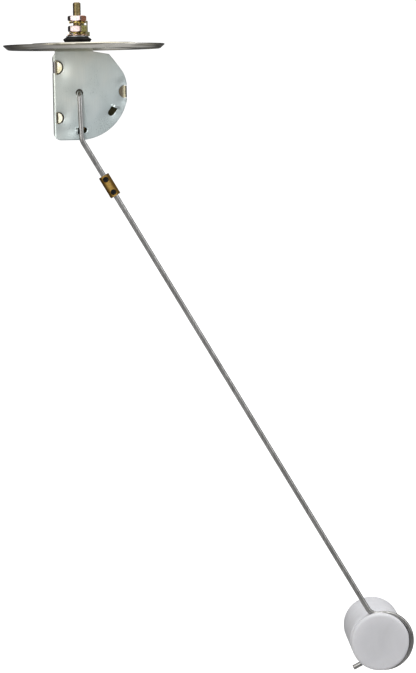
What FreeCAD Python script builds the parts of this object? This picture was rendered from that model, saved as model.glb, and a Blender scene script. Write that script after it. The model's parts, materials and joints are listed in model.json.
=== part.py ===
import FreeCAD, Part
import math
import os

from FreeCAD import Vector

# Fuel-tank level sender with a swinging float arm, in millimetres.
# X runs to the right, Y runs away from the front plate, Z runs up the terminal stud.
# The origin is the centre of the flange's seating plane.

# ---- driving dimensions -------------------------------------------------------------------------

# flange stamping
SHEET_FLANGE = 1.0
FLANGE_R = 42.0            # rim
FLANGE_SEAT_R = 39.4       # outer edge of the flat seating ring
FLANGE_H = 2.6             # top of the rim above the seating plane
FLANGE_LIP = 0.7           # height of the upright edge of the rim
DOME_R = 27.0              # raised centre
DOME_Z = 3.4               # top of the raised centre
DOME_WALL_RUN = 1.5        # how far its sloping wall spreads
SCREW_PCD = 69.1
SCREW_COUNT = 5
SCREW_HOLE_R = 2.65

# terminal stack, from the flange up
STUD_X = -3.35
STUD_R = 2.08              # thread crest on the free end
STUD_CORE_R = 1.85         # inside the stack
STUD_TOP = 24.4
STUD_TIP = 0.3             # chamfer at its top
STUD_HEAD_R = 3.3
STUD_HEAD_Z = (-0.9, 0.9)
STUD_TAIL_R = 1.7          # riveted end that holds the contact strip
STUD_TAIL_H = 0.6
STUD_SPIGOT_R = 1.3
STUD_HOLE_R = 3.8          # hole in the flange
BORE_R = 2.15              # holes of the washers
COLLAR_R = 4.6             # insulator's collar, between the stud's head and the flange
NECK_R = 3.7               # insulator's neck, in the flange's hole
NECK_UP = 1.6              # how far the neck stands above the flange
SEAL_TOP = 6.5
SEAL_BULGE_Z = 5.2
SEAL_BULGE_R = 7.55
SEAL_BASE_R = 6.3
SEAL_TOP_R = 5.6
FLAT_WASHER_T = 0.5
FLAT_WASHER_R = 5.8
TAG_T = 1.0
TAG_R = 5.2                # over its teeth
TOOTH_WASHER_H = 1.1
TOOTH_WASHER_R = 4.2
TEETH = 8
TOOTH_TURN = 33.0          # degrees, where the first tooth stands
TOOTH_L = 1.5
TOOTH_T = 0.5
NUT_AF = 8.73              # across the flats
LOWER_NUT_H = 3.2
UPPER_GAP = 1.05           # bare stud above the lower nut
UPPER_WASHER_H = 1.35
TOP_NUT_H = 2.8
NUT_TURN = -12.0           # degrees, how the hexagons are turned
NUT_CHAMFER = 0.45
TAG_BLADE_X = (1.8, 5.5)   # from the stud's axis
TAG_SHOULDER_X = 6.5
TAG_SHOULDER_H = 2.2
TAG_BLADE_Y = (5.3, 6.1)
TAG_BLADE_TOP = 15.0
TAG_HOLE_R = 0.6
TAG_HOLE_X = 4.2
TAG_HOLE_Z = 13.3

# housing
SHEET_PLATE = 1.2
PLATE_FRONT = -5.5         # y of the front plate's front face
PIVOT_X = -2.8
PIVOT_Z = -22.4
PLATE_R = 24.5             # lower arc of the D-shaped plate, about the pivot
PLATE_LEFT = -16.6
PLATE_TOP = -1.1
PLATE_RIGHT = 21.93        # short upright edge beside the right-hand window
PLATE_RIGHT_Z = (-18.6, -26.0)
PLATE_CORNER_R = 4.0
PLATE_FLAT_END_X = 4.7     # where the straight top edge ends
PLATE_SHOULDER = (12.9, -2.55)
PLATE_SLOPE_MIDDLE = (16.9, -7.55)
PLATE_SLOPE_END = (20.0, -11.9)
PLATE_SLOPE_FOOT = (21.3, -15.2)
LEFT_BEND_R = 1.4
TOP_BEND_R = 3.5
RETURN_END_Y = 1.5         # how far back the left return wall runs
WELD_TAB_END_Y = 8.5
STUD_ROOM_R = 4.75         # hole in the weld tab, round the insulator's collar
STUD_ROOM_Z = 0.8          # the hole starts here, just under the collar
PIVOT_HOLE_R = 1.9
COVER_T = 0.8
COVER_INSET = 1.45         # from the plate's outline to the cover's
COVER_BACK = 7.7

# the cover's ears, folded over in the plate's windows. Each is (window's x, z and radius,
# leaf's x and radius, outer x of the ear's stem, outer radius of its fold)
UPPER_EAR = (-14.45, -9.2, 3.75, -14.55, 3.0, -16.5, 2.6)
LOWER_EAR = (-14.1, -35.3, 3.2, -14.6, 2.75, -15.15, 1.4)
RIGHT_EAR = (21.0, -22.1, 3.4, 20.95, 3.2, 21.8, 2.1)
EAR_RECESS = 0.45          # from the plate's front down to the fold
EAR_LEAN = 7.0             # degrees, how far each leaf has sprung open
NOTCH_HALF = 3.0           # half-height of the notch that the upper ear passes through
WINDOW_LEFT = -15.2

# stop tabs lanced out of the front plate
STOP_R = 19.8
STOP_W = 3.4
STOP_REACH = 5.0           # how far they stand out of the plate
LOW_STOP_FACE = -93.3      # degrees about the pivot
HIGH_STOP_FACE = -23.3
LOW_SLOT_END = (19.44, -84.1)    # radius and degrees of the slot's round end
HIGH_SLOT_END = (19.35, -33.1)
SLOT_END_R = 1.6

# arm
ROD_R = 1.35
ARM_Y = -8.0               # plane that the arm swings in
SHAFT_END_Y = 9.9
CRANK_LEAN_X = 0.7         # sideways offset of the crank's lower bend from the pivot
CRANK_BEND_Z = -46.7
ARM_ANGLE = 30.3           # degrees from straight down
COUPLER_X = 11.93
COUPLER_Z = -70.73
COUPLER_W = 5.7
COUPLER_L = 12.0
COUPLER_CHAMFER = 1.1
SCREW_R = 1.45
SCREW_PITCH = 7.6
LOOP_X = 153.25            # centre of the wire loop round the float
LOOP_Z = -315.34
LOOP_R = 14.7
LOOP_ENTRY_BEND_R = 6.0
LOOP_END_ANGLE = -124.5
TAIL_BEND_R = 3.5
TAIL_DIRECTION = 207.8     # degrees, down and to the left
TAIL_LENGTH = 5.2

# float
FLOAT_X = 150.8
FLOAT_Z = -315.15
FLOAT_R = 15.45
FLOAT_BACK_R = 15.3
FLOAT_FRONT = -13.0
FLOAT_BACK = 33.0
FLOAT_WALL = 1.5
LIP_BACK = -9.6            # back of the front lip
GROOVE_BACK = -6.4
GROOVE_R = 12.6

# rheostat inside the housing
SHAFT_FIT = 0.05           # radial clearance of the shaft in its bushes
WIPER_ANGLE = -88.3        # degrees about the pivot at rest
CARD_R = (15.5, 21.0)
CARD_Y = (3.15, 4.45)
CARD_ARC = (-110.0, -4.0)
WINDING_T = 0.25
WINDING_ARC = (-99.0, -17.5)
RIVET_ANGLES = (-106.0, -8.0)
RIVET_R = 1.0
RIVET_HEAD_R = 1.7
RIVET_HEAD_H = 0.7
SPACER_R = 1.9
LOOSE = 0.02               # clearance of a pressed or riveted joint
STRIP_T = 0.4
STRIP_HALF = 1.6           # half of its width
STRIP_EYE_R = 2.6
STRIP_BEND_Z = -6.9        # where it turns towards the card
FRONT_BUSH_R = 3.4
FRONT_BUSH_L = 2.5
WASHER_R = (1.6, 3.0)      # wave washer
WASHER_T = 0.5
REAR_BUSH_R = 4.0          # flange
REAR_BUSH_T = 1.0
REAR_BARREL_R = 3.0
HUB_Y = (-1.15, 1.0)
HUB_R = 3.6
HUB_SPIGOT_R = 2.6
HUB_SPIGOT_L = 1.2
WIPER_REACH = 18.25
WIPER_T = 0.5
WIPER_HALF = (2.0, 1.2)    # half-widths at its root and tip
WIPER_EYE_R = 4.2
WIPER_PAD_R = 1.7
CONTACT_R = (1.1, 0.7)
CONTACT_H = 1.2
CONTACT_SHANK_R = 0.48
CLIP_Y = 8.8
CLIP_R = 3.2
CLIP_T = 0.5

UP = Vector(0, 0, 1)
BACK = Vector(0, 1, 0)

# ---- helpers ------------------------------------------------------------------------------------


def polar(radius, degrees, y=0.0):
    """A point at a radius and angle about the pivot axis."""
    a = math.radians(degrees)
    return Vector(PIVOT_X + radius * math.cos(a), y, PIVOT_Z + radius * math.sin(a))


def cylinder(x, y, z, radius, length, axis=UP):
    return Part.makeCylinder(radius, length, Vector(x, y, z), axis)


def ring(x, y, z, outer, inner, length, axis=UP):
    return cylinder(x, y, z, outer, length, axis).cut(cylinder(x, y, z, inner, length, axis))


def box(x0, x1, y0, y1, z0, z1):
    return Part.makeBox(x1 - x0, y1 - y0, z1 - z0, Vector(x0, y0, z0))


def revolve_z(profile, x=0.0, y=0.0):
    """A solid of revolution about a vertical axis, from (radius, height) points."""
    points = [Vector(x + r, y, z) for r, z in profile]
    face = Part.Face(Part.makePolygon(points + points[:1]))
    return face.revolve(Vector(x, y, 0), UP, 360)


def revolve_y(profile, x, z):
    """A solid of revolution about a horizontal axis, from (radius, y) points."""
    points = [Vector(x + r, y, z) for r, y in profile]
    face = Part.Face(Part.makePolygon(points + points[:1]))
    return face.revolve(Vector(x, 0, z), BACK, 360)


def sector(inner, outer, start, end, y0, y1):
    """A flat ring segment about the pivot axis."""
    middle = (start + end) / 2
    edges = [
        Part.LineSegment(polar(inner, start, y0), polar(outer, start, y0)).toShape(),
        Part.Arc(polar(outer, start, y0), polar(outer, middle, y0), polar(outer, end, y0)).toShape(),
        Part.LineSegment(polar(outer, end, y0), polar(inner, end, y0)).toShape(),
        Part.Arc(polar(inner, end, y0), polar(inner, middle, y0), polar(inner, start, y0)).toShape(),
    ]
    return Part.Face(Part.Wire(edges)).extrude(Vector(0, y1 - y0, 0))


def plate_outline(y0):
    """The D-shaped outline of the front plate, as a face at y0."""

    def point(x, z):
        return Vector(x, y0, z)

    def line(a, b):
        return Part.LineSegment(a, b).toShape()

    def arc(a, middle, b):
        return Part.Arc(a, middle, b).toShape()

    r = PLATE_CORNER_R
    cut = r - r * math.sqrt(0.5)
    left, top, bottom = PLATE_LEFT, PLATE_TOP, PIVOT_Z - PLATE_R
    shoulder = point(*PLATE_SHOULDER)
    slope_end = point(*PLATE_SLOPE_END)
    right_top = point(PLATE_RIGHT, PLATE_RIGHT_Z[0])
    right_low = point(PLATE_RIGHT, PLATE_RIGHT_Z[1])
    between = point(*PLATE_SLOPE_FOOT)
    edges = [
        line(point(left + r, top), point(PLATE_FLAT_END_X, top)),
        line(point(PLATE_FLAT_END_X, top), shoulder),
        arc(shoulder, point(*PLATE_SLOPE_MIDDLE), slope_end),
        arc(slope_end, between, right_top),
        line(right_top, right_low),
        arc(right_low, polar(PLATE_R, -45, y0), point(PIVOT_X, bottom)),
        line(point(PIVOT_X, bottom), point(left + r, bottom)),
        arc(point(left + r, bottom), point(left + cut, bottom + cut), point(left, bottom + r)),
        line(point(left, bottom + r), point(left, top - r)),
        arc(point(left, top - r), point(left + cut, top - cut), point(left + r, top)),
    ]
    return Part.Face(Part.Wire(edges))


def slab(y0, y1, inset=0.0):
    """The plate's outline, drawn in by inset, as a solid from y0 to y1."""
    face = plate_outline(y0)
    if inset:
        face = face.makeOffset2D(-inset)
    return face.extrude(Vector(0, y1 - y0, 0))


def bent_path(points, radii):
    """Straight runs joined by tangent arcs: one radius for each inner point."""
    edges = []
    last = points[0]
    for before, corner, after, radius in zip(points, points[1:], points[2:], radii):
        into = (before - corner).normalize()
        out = (after - corner).normalize()
        half = into.getAngle(out) / 2
        reach = radius / math.tan(half)
        start = corner + into * reach
        end = corner + out * reach
        middle_way = (into + out).normalize()
        centre = corner + middle_way * (radius / math.sin(half))
        edges.append(Part.LineSegment(last, start).toShape())
        edges.append(Part.Arc(start, centre - middle_way * radius, end).toShape())
        last = end
    edges.append(Part.LineSegment(last, points[-1]).toShape())
    return edges


def rod_along(edges, radius):
    """A round rod swept along a tangent-continuous path."""
    path = Part.Wire(edges)
    start = edges[0].valueAt(edges[0].FirstParameter)
    heading = edges[0].tangentAt(edges[0].FirstParameter)
    circle = Part.Wire([Part.Circle(start, heading, radius).toShape()])
    return path.makePipeShell([circle], True, True)


def hex_nut(x, y, z, height, turn):
    """A hexagon nut with both faces chamfered and a plain bore."""
    corner = NUT_AF / 2 / math.cos(math.radians(30))
    points = []
    for k in range(6):
        a = math.radians(turn + 60 * k)
        points.append(Vector(x + corner * math.cos(a), y + corner * math.sin(a), z))
    prism = Part.Face(Part.makePolygon(points + points[:1])).extrude(Vector(0, 0, height))
    flat = NUT_AF / 2 * 0.97
    drop = NUT_CHAMFER
    high = z + height
    dome = revolve_z(
        [(0, z), (flat, z), (corner, z + drop), (corner, high - drop), (flat, high), (0, high)],
        x, y,
    )
    return prism.common(dome).cut(cylinder(x, y, z, STUD_CORE_R + LOOSE, height))


def tooth_ring(x, y, z, outer, height):
    """A ring with twisted teeth all round, as on an external-tooth lock washer."""
    body_t = height / 2
    root = outer - TOOTH_L
    shape = ring(x, y, z + (height - body_t) / 2, root, BORE_R, body_t)
    width = 2 * math.pi * root / TEETH * 0.7
    twist = math.degrees(math.asin(min(0.9, (height - TOOTH_T) / width)))
    overlap = 0.5
    for k in range(TEETH):
        tooth = box(root - overlap, outer, -width / 2, width / 2, -TOOTH_T / 2, TOOTH_T / 2)
        tooth.rotate(Vector(0, 0, 0), Vector(1, 0, 0), twist)
        tooth.rotate(Vector(0, 0, 0), UP, 360.0 * k / TEETH + TOOTH_TURN)
        tooth.translate(Vector(x, y, z + height / 2))
        shape = shape.fuse(tooth)
    limit = cylinder(x, y, z, outer, height)
    return shape.common(limit).removeSplitter()


# ---- flange and terminal ------------------------------------------------------------------------


def mounting_flange():
    wall = DOME_WALL_RUN
    lip_bottom = FLANGE_H - FLANGE_LIP
    under_dome = DOME_Z - SHEET_FLANGE
    skirt_top_r = FLANGE_R - 1.3
    profile = [
        (0, DOME_Z),
        (DOME_R, DOME_Z),
        (DOME_R + wall, SHEET_FLANGE),
        (FLANGE_SEAT_R - 0.6, SHEET_FLANGE),
        (skirt_top_r, FLANGE_H),
        (FLANGE_R - 0.25, FLANGE_H),
        (FLANGE_R, FLANGE_H - 0.2),
        (FLANGE_R, lip_bottom + 0.15),
        (FLANGE_SEAT_R + 0.35, 0.2),
        (FLANGE_SEAT_R, 0),
        (DOME_R + wall - 0.6, 0),
        (DOME_R - 0.6, under_dome),
        (0, under_dome),
    ]
    shape = revolve_z(profile)
    shape = shape.cut(cylinder(STUD_X, 0, under_dome, STUD_HOLE_R, SHEET_FLANGE))
    for k in range(SCREW_COUNT):
        a = math.radians(360.0 * k / SCREW_COUNT)
        x = SCREW_PCD / 2 * math.cos(a)
        y = SCREW_PCD / 2 * math.sin(a)
        shape = shape.cut(cylinder(x, y, 0, SCREW_HOLE_R, SHEET_FLANGE))
    return shape


def terminal_stud(stack_top):
    """The stud: riveted tail, head under the flange, core inside the stack and free end above it."""
    head_low, head_top = STUD_HEAD_Z
    tail = cylinder(STUD_X, 0, head_low - STRIP_T - STUD_TAIL_H, STUD_TAIL_R, STUD_TAIL_H)
    spigot = cylinder(STUD_X, 0, head_low - STRIP_T, STUD_SPIGOT_R, STRIP_T)
    head = cylinder(STUD_X, 0, head_low, STUD_HEAD_R, head_top - head_low)
    core = cylinder(STUD_X, 0, head_top, STUD_CORE_R, stack_top - head_top)
    free_end = cylinder(STUD_X, 0, stack_top, STUD_R, STUD_TOP - STUD_TIP - stack_top)
    tip = Part.makeCone(STUD_R, STUD_R - STUD_TIP, STUD_TIP, Vector(STUD_X, 0, STUD_TOP - STUD_TIP), UP)
    return tail.fuse([spigot, head, core, free_end, tip]).removeSplitter()


def stud_insulator():
    head_top = STUD_HEAD_Z[1]
    collar_top = DOME_Z - SHEET_FLANGE
    neck_top = DOME_Z + NECK_UP
    profile = [
        (BORE_R, head_top),
        (COLLAR_R, head_top),
        (COLLAR_R, collar_top),
        (NECK_R, collar_top),
        (NECK_R, neck_top),
        (BORE_R, neck_top),
    ]
    return revolve_z(profile, STUD_X)


def rubber_seal():
    """A soft washer with a bulging side. It fits over the insulator's neck."""
    neck_top = DOME_Z + NECK_UP + 0.05
    hole = NECK_R + 0.05
    profile = [
        (hole, DOME_Z),
        (SEAL_BASE_R, DOME_Z),
        (SEAL_BASE_R + 0.45, DOME_Z + 0.5),
        (SEAL_BULGE_R - 0.12, SEAL_BULGE_Z - 0.25),
        (SEAL_BULGE_R, SEAL_BULGE_Z),
        (SEAL_BULGE_R - 0.2, SEAL_BULGE_Z + 0.25),
        (SEAL_TOP_R + 0.3, SEAL_TOP - 0.15),
        (SEAL_TOP_R, SEAL_TOP),
        (BORE_R, SEAL_TOP),
        (BORE_R, neck_top),
        (hole, neck_top),
    ]
    return revolve_z(profile, STUD_X)


def terminal_tag(z):
    """A toothed ring tag, with a blade turned up behind the stud from a wider shoulder."""
    x0 = STUD_X + TAG_BLADE_X[0]
    x1 = STUD_X + TAG_BLADE_X[1]
    y0, y1 = TAG_BLADE_Y
    tag = tooth_ring(STUD_X, 0, z, TAG_R, TAG_T)
    tag = tag.fuse([
        box(x0, x1, 2.5, y1, z + TAG_T / 4, z + TAG_T * 3 / 4),
        box(x0, STUD_X + TAG_SHOULDER_X, y0, y1, z, z + TAG_SHOULDER_H),
        box(x0, x1, y0, y1, z, TAG_BLADE_TOP),
    ])
    tag = tag.cut(cylinder(STUD_X, 0, z, BORE_R, TAG_T))
    tag = tag.cut(cylinder(STUD_X + TAG_HOLE_X, y0, TAG_HOLE_Z, TAG_HOLE_R, y1 - y0, BACK))
    return tag.removeSplitter()


def terminal_stack():
    """Every piece threaded on the terminal stud, from the bottom up."""
    pieces = {"stud_insulator": stud_insulator(), "rubber_seal": rubber_seal()}
    z = SEAL_TOP
    pieces["flat_washer"] = ring(STUD_X, 0, z, FLAT_WASHER_R, BORE_R, FLAT_WASHER_T)
    z += FLAT_WASHER_T
    pieces["terminal_tag"] = terminal_tag(z)
    z += TAG_T
    pieces["lower_tooth_washer"] = tooth_ring(STUD_X, 0, z, TOOTH_WASHER_R, TOOTH_WASHER_H)
    z += TOOTH_WASHER_H
    pieces["lower_nut"] = hex_nut(STUD_X, 0, z, LOWER_NUT_H, NUT_TURN - 2)
    z += LOWER_NUT_H + UPPER_GAP
    pieces["upper_lock_washer"] = tooth_ring(STUD_X, 0, z, TOOTH_WASHER_R, UPPER_WASHER_H)
    z += UPPER_WASHER_H
    pieces["top_nut"] = hex_nut(STUD_X, 0, z, TOP_NUT_H, NUT_TURN)
    pieces["terminal_stud"] = terminal_stud(z + TOP_NUT_H)
    return pieces


# ---- housing ------------------------------------------------------------------------------------


def stop_tab(face_angle, away):
    """A tab that stands out of the plate: its stop face is radial, and its body lies on the away side."""
    t = SHEET_PLATE
    length = STOP_REACH + SHEET_PLATE
    side = 0 if away > 0 else -t
    half = STOP_W / 2
    blade = Part.makeBox(STOP_W, length - half, t, Vector(STOP_R - half, half - STOP_REACH, side))
    end = Part.makeCylinder(STOP_W / 2, t, Vector(STOP_R, -STOP_REACH + STOP_W / 2, side), UP)
    tab = blade.fuse(end)
    tab.rotate(Vector(0, 0, 0), Vector(0, -1, 0), face_angle)
    tab.translate(Vector(PIVOT_X, PLATE_FRONT, PIVOT_Z))
    return tab


def stop_slot(face_angle, end, y0, y1):
    """The window that a stop tab was lanced from: square at the fold and round at its far end."""
    half = STOP_W / 2
    fold_in = polar(STOP_R - half, face_angle, y0)
    fold_out = polar(STOP_R + half, face_angle, y0)
    centre = polar(*end, y0)
    way = (centre - (fold_in + fold_out) * 0.5).normalize()
    side = Vector(-way.z, 0, way.x) * SLOT_END_R
    if side.dot(fold_out - fold_in) < 0:
        side = side * -1
    corners = [fold_in, fold_out, centre + side, centre - side]
    window = Part.Face(Part.makePolygon(corners + corners[:1])).extrude(Vector(0, y1 - y0, 0))
    return window.fuse(cylinder(centre.x, y0, centre.z, SLOT_END_R, y1 - y0, BACK))


def flat_sheet():
    """The flat part of the front plate, up to the crease on the left."""
    back = PLATE_FRONT + SHEET_PLATE
    past = box(PLATE_LEFT - 1, PLATE_LEFT + LEFT_BEND_R, PLATE_FRONT - 1, back + 1, PIVOT_Z - PLATE_R - 1, 1)
    return slab(PLATE_FRONT, back).cut(past)


def left_return():
    """The bend down the left side and the wall that runs back from it, trimmed to the outline."""
    crease = PLATE_LEFT + LEFT_BEND_R
    bottom = PIVOT_Z - PLATE_R
    centre_y = PLATE_FRONT + LEFT_BEND_R
    height = PLATE_TOP - bottom
    bend = ring(crease, centre_y, bottom, LEFT_BEND_R, LEFT_BEND_R - SHEET_PLATE, height)
    bend = bend.common(box(PLATE_LEFT - 1, crease, PLATE_FRONT - 1, centre_y, bottom, PLATE_TOP))
    wall = box(PLATE_LEFT, PLATE_LEFT + SHEET_PLATE, centre_y, RETURN_END_Y, bottom, PLATE_TOP)
    return bend.fuse(wall).common(slab(PLATE_FRONT - 1, RETURN_END_Y + 1))


def weld_tab():
    """The top edge bent back into a tab under the flange, cleared round the stud."""
    x0 = PLATE_LEFT + LEFT_BEND_R
    x1 = PLATE_FLAT_END_X
    top = PLATE_TOP + TOP_BEND_R
    bend_y = PLATE_FRONT + TOP_BEND_R
    along = Vector(1, 0, 0)
    bend = ring(x0, bend_y, PLATE_TOP, TOP_BEND_R, TOP_BEND_R - SHEET_PLATE, x1 - x0, along)
    bend = bend.common(box(x0, x1, PLATE_FRONT - 1, bend_y, PLATE_TOP, top + 1))
    tab = box(x0, x1, bend_y, WELD_TAB_END_Y, top - SHEET_PLATE, top)
    neck = box(x0, x0 + 4.5, PLATE_FRONT, PLATE_FRONT + SHEET_PLATE, PLATE_TOP - PLATE_CORNER_R, PLATE_TOP)
    return tab.fuse([bend, neck]).cut(cylinder(STUD_X, 0, STUD_ROOM_Z, STUD_ROOM_R, top))


def front_plate():
    back = PLATE_FRONT + SHEET_PLATE
    y0 = PLATE_FRONT - 1
    plate = flat_sheet().fuse([left_return(), weld_tab()])
    # windows for the cover's ears
    for ear in (UPPER_EAR, LOWER_EAR):
        x, z, radius = ear[:3]
        window = cylinder(x, y0, z, radius, back + 0.3 - y0, BACK)
        plate = plate.cut(window.common(box(WINDOW_LEFT, 0, y0, back + 1, z - radius, z + radius)))
    z = UPPER_EAR[1]
    plate = plate.cut(box(PLATE_LEFT - 1, WINDOW_LEFT, y0, RETURN_END_Y + 1, z - NOTCH_HALF, z + NOTCH_HALF))
    x, z, radius = RIGHT_EAR[:3]
    plate = plate.cut(cylinder(x, y0, z, radius, back - y0, BACK))
    plate = plate.cut(box(x, x + 5, y0, back, z - radius, z + radius))
    # the pivot's hole, and the stops
    plate = plate.cut(cylinder(PIVOT_X, y0, PIVOT_Z, PIVOT_HOLE_R, back - y0, BACK))
    for face, end in ((LOW_STOP_FACE, LOW_SLOT_END), (HIGH_STOP_FACE, HIGH_SLOT_END)):
        plate = plate.cut(stop_slot(face, end, y0, back))
    plate = plate.fuse([stop_tab(LOW_STOP_FACE, -1), stop_tab(HIGH_STOP_FACE, 1)])
    return plate.removeSplitter()


def folded_ear(stem_x, wall_x, z, half, fold_r, leaf_x, leaf_r, stem_end):
    """An ear on the left wall: a stem, a fold and a leaf that is round at its end and leans outwards.

    stem_x is the stem's outer face and wall_x the wall's. Where they differ, the stem jogs at stem_end.
    """
    t = COVER_T
    centre = Vector(stem_x + fold_r, PLATE_FRONT + EAR_RECESS + fold_r, z - half)
    fold = Part.makeCylinder(fold_r, 2 * half, centre, UP, 90 - EAR_LEAN)
    fold = fold.cut(Part.makeCylinder(fold_r - t, 2 * half, centre, UP, 90 - EAR_LEAN))
    fold.rotate(centre, UP, 180)
    leaf = Part.makeBox(2 * leaf_r, t, 2 * leaf_r, Vector(centre.x, centre.y - fold_r, z - leaf_r))
    leaf.rotate(centre, UP, -EAR_LEAN)
    leaf = leaf.common(cylinder(leaf_x, PLATE_FRONT - 2, z, leaf_r, 6, BACK))
    stem = box(stem_x, stem_x + t, centre.y, stem_end, z - half, z + half)
    ear = fold.fuse([leaf, stem])
    if wall_x > stem_x:
        ear = ear.fuse(box(stem_x, wall_x + t, stem_end - t, stem_end, z - half, z + half))
    return ear


def housing_cover():
    mouth = PLATE_FRONT + SHEET_PLATE
    t = COVER_T
    cover = slab(mouth, COVER_BACK, COVER_INSET).cut(slab(mouth, COVER_BACK - t, COVER_INSET + t))
    # holes for the rear bush and the rivets, and the way in for the contact strip
    y0 = COVER_BACK - t - 1
    cover = cover.cut(cylinder(PIVOT_X, y0, PIVOT_Z, REAR_BARREL_R + LOOSE, t + 2, BACK))
    for angle in RIVET_ANGLES:
        at = polar(sum(CARD_R) / 2, angle)
        cover = cover.cut(cylinder(at.x, y0, at.z, RIVET_R + LOOSE, t + 2, BACK))
    top = PLATE_TOP - COVER_INSET
    cover = cover.cut(box(STUD_X - 2.6, STUD_X + 2.6, 3.8, 5.6, top - 2, top + 1))
    # ears folded over in the plate's windows
    wall_x = PLATE_LEFT + COVER_INSET
    ears = []
    for _, z, _, leaf_x, leaf_r, stem_x, fold_r in (UPPER_EAR, LOWER_EAR):
        stem_end = -0.2 if stem_x < wall_x else mouth + 1
        ears.append(folded_ear(stem_x, wall_x, z, leaf_r - 0.1, fold_r, leaf_x, leaf_r, stem_end))
    _, z, _, leaf_x, leaf_r, stem_x, fold_r = RIGHT_EAR
    right_wall = PLATE_RIGHT - COVER_INSET
    ear = folded_ear(-stem_x, -right_wall, z, leaf_r - 0.1, fold_r, -leaf_x, leaf_r, -2.0)
    ears.append(ear.mirror(Vector(0, 0, 0), Vector(1, 0, 0)))
    return cover.fuse(ears).removeSplitter()


# ---- rheostat and bearings ----------------------------------------------------------------------


def rheostat():
    pieces = {}
    middle_r = sum(CARD_R) / 2
    card = sector(CARD_R[0], CARD_R[1], CARD_ARC[0], CARD_ARC[1], CARD_Y[0], CARD_Y[1])
    wrap = WINDING_T
    sleeve = sector(CARD_R[0] - wrap, CARD_R[1] + wrap, *WINDING_ARC, CARD_Y[0] - wrap, CARD_Y[1] + wrap)
    pieces["resistance_winding"] = sleeve.cut(card)
    rivets = []
    spacers = []
    inside_back = COVER_BACK - COVER_T
    for angle in RIVET_ANGLES:
        at = polar(middle_r, angle)
        card = card.cut(cylinder(at.x, CARD_Y[0], at.z, RIVET_R + LOOSE, CARD_Y[1] - CARD_Y[0], BACK))
        shank = cylinder(at.x, CARD_Y[0], at.z, RIVET_R, COVER_BACK - CARD_Y[0], BACK)
        front_head = cylinder(at.x, CARD_Y[0] - RIVET_HEAD_H, at.z, RIVET_HEAD_R, RIVET_HEAD_H, BACK)
        rear_head = Part.makeCone(RIVET_HEAD_R, RIVET_R, RIVET_HEAD_H, Vector(at.x, COVER_BACK, at.z), BACK)
        rivets.append(shank.fuse([front_head, rear_head]).removeSplitter())
        start = CARD_Y[1] + (STRIP_T if angle == RIVET_ANGLES[1] else 0)
        spacers.append(ring(at.x, start, at.z, SPACER_R, RIVET_R + LOOSE, inside_back - start, BACK))
    pieces["resistor_card"] = card
    pieces["card_rivets"] = Part.makeCompound(rivets)
    pieces["card_spacers"] = Part.makeCompound(spacers)
    pieces["contact_strip"] = contact_strip(polar(middle_r, RIVET_ANGLES[1]))
    return pieces


def contact_strip(low):
    """A brass strip from the stud's head down to the card's end rivet."""
    top_z = STUD_HEAD_Z[0]
    y0 = CARD_Y[1]
    y1 = y0 + STRIP_T
    half = STRIP_HALF
    high = Vector(STUD_X, y0, STRIP_BEND_Z)
    way = Vector(low.x - high.x, 0, low.z - high.z).normalize()
    side = Vector(-way.z, 0, way.x) * half
    corners = [high + side, high - side, Vector(low.x, y0, low.z) - side, Vector(low.x, y0, low.z) + side]
    slant = Part.Face(Part.makePolygon(corners + corners[:1])).extrude(Vector(0, STRIP_T, 0))
    knee = cylinder(high.x, y0, high.z, half, STRIP_T, BACK)
    eyelet = cylinder(low.x, y0, low.z, SPACER_R + 0.1, STRIP_T, BACK)
    upright = box(STUD_X - half, STUD_X + half, y0, y1, high.z, top_z)
    shelf = box(STUD_X - half, STUD_X + half, 0, y1, top_z - STRIP_T, top_z)
    eye = cylinder(STUD_X, 0, top_z - STRIP_T, STRIP_EYE_R, STRIP_T)
    strip = slant.fuse([knee, eyelet, upright, shelf, eye])
    strip = strip.cut(cylinder(STUD_X, 0, top_z - STRIP_T, STUD_SPIGOT_R + LOOSE, STRIP_T))
    strip = strip.cut(cylinder(low.x, y0, low.z, RIVET_R + LOOSE, STRIP_T, BACK))
    return strip.removeSplitter()


def bearings():
    """Front bush, wave washer, rear bush and the clip that keeps the shaft in."""
    bore = ROD_R + SHAFT_FIT
    inside_front = PLATE_FRONT + SHEET_PLATE
    inside_back = COVER_BACK - COVER_T
    washer_y = inside_front + FRONT_BUSH_L
    flange_y = inside_back - REAR_BUSH_T
    flange = cylinder(PIVOT_X, flange_y, PIVOT_Z, REAR_BUSH_R, REAR_BUSH_T, BACK)
    barrel = cylinder(PIVOT_X, inside_back, PIVOT_Z, REAR_BARREL_R, COVER_T + REAR_BUSH_T, BACK)
    through = cylinder(PIVOT_X, flange_y, PIVOT_Z, bore, COVER_T + 2 * REAR_BUSH_T, BACK)
    return {
        "front_bush": ring(PIVOT_X, inside_front, PIVOT_Z, FRONT_BUSH_R, bore, FRONT_BUSH_L, BACK),
        "wave_washer": ring(PIVOT_X, washer_y, PIVOT_Z, WASHER_R[1], WASHER_R[0], WASHER_T, BACK),
        "rear_bush": flange.fuse(barrel).cut(through).removeSplitter(),
        "retaining_clip": ring(PIVOT_X, CLIP_Y, PIVOT_Z, CLIP_R, ROD_R + LOOSE, CLIP_T, BACK),
    }


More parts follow.
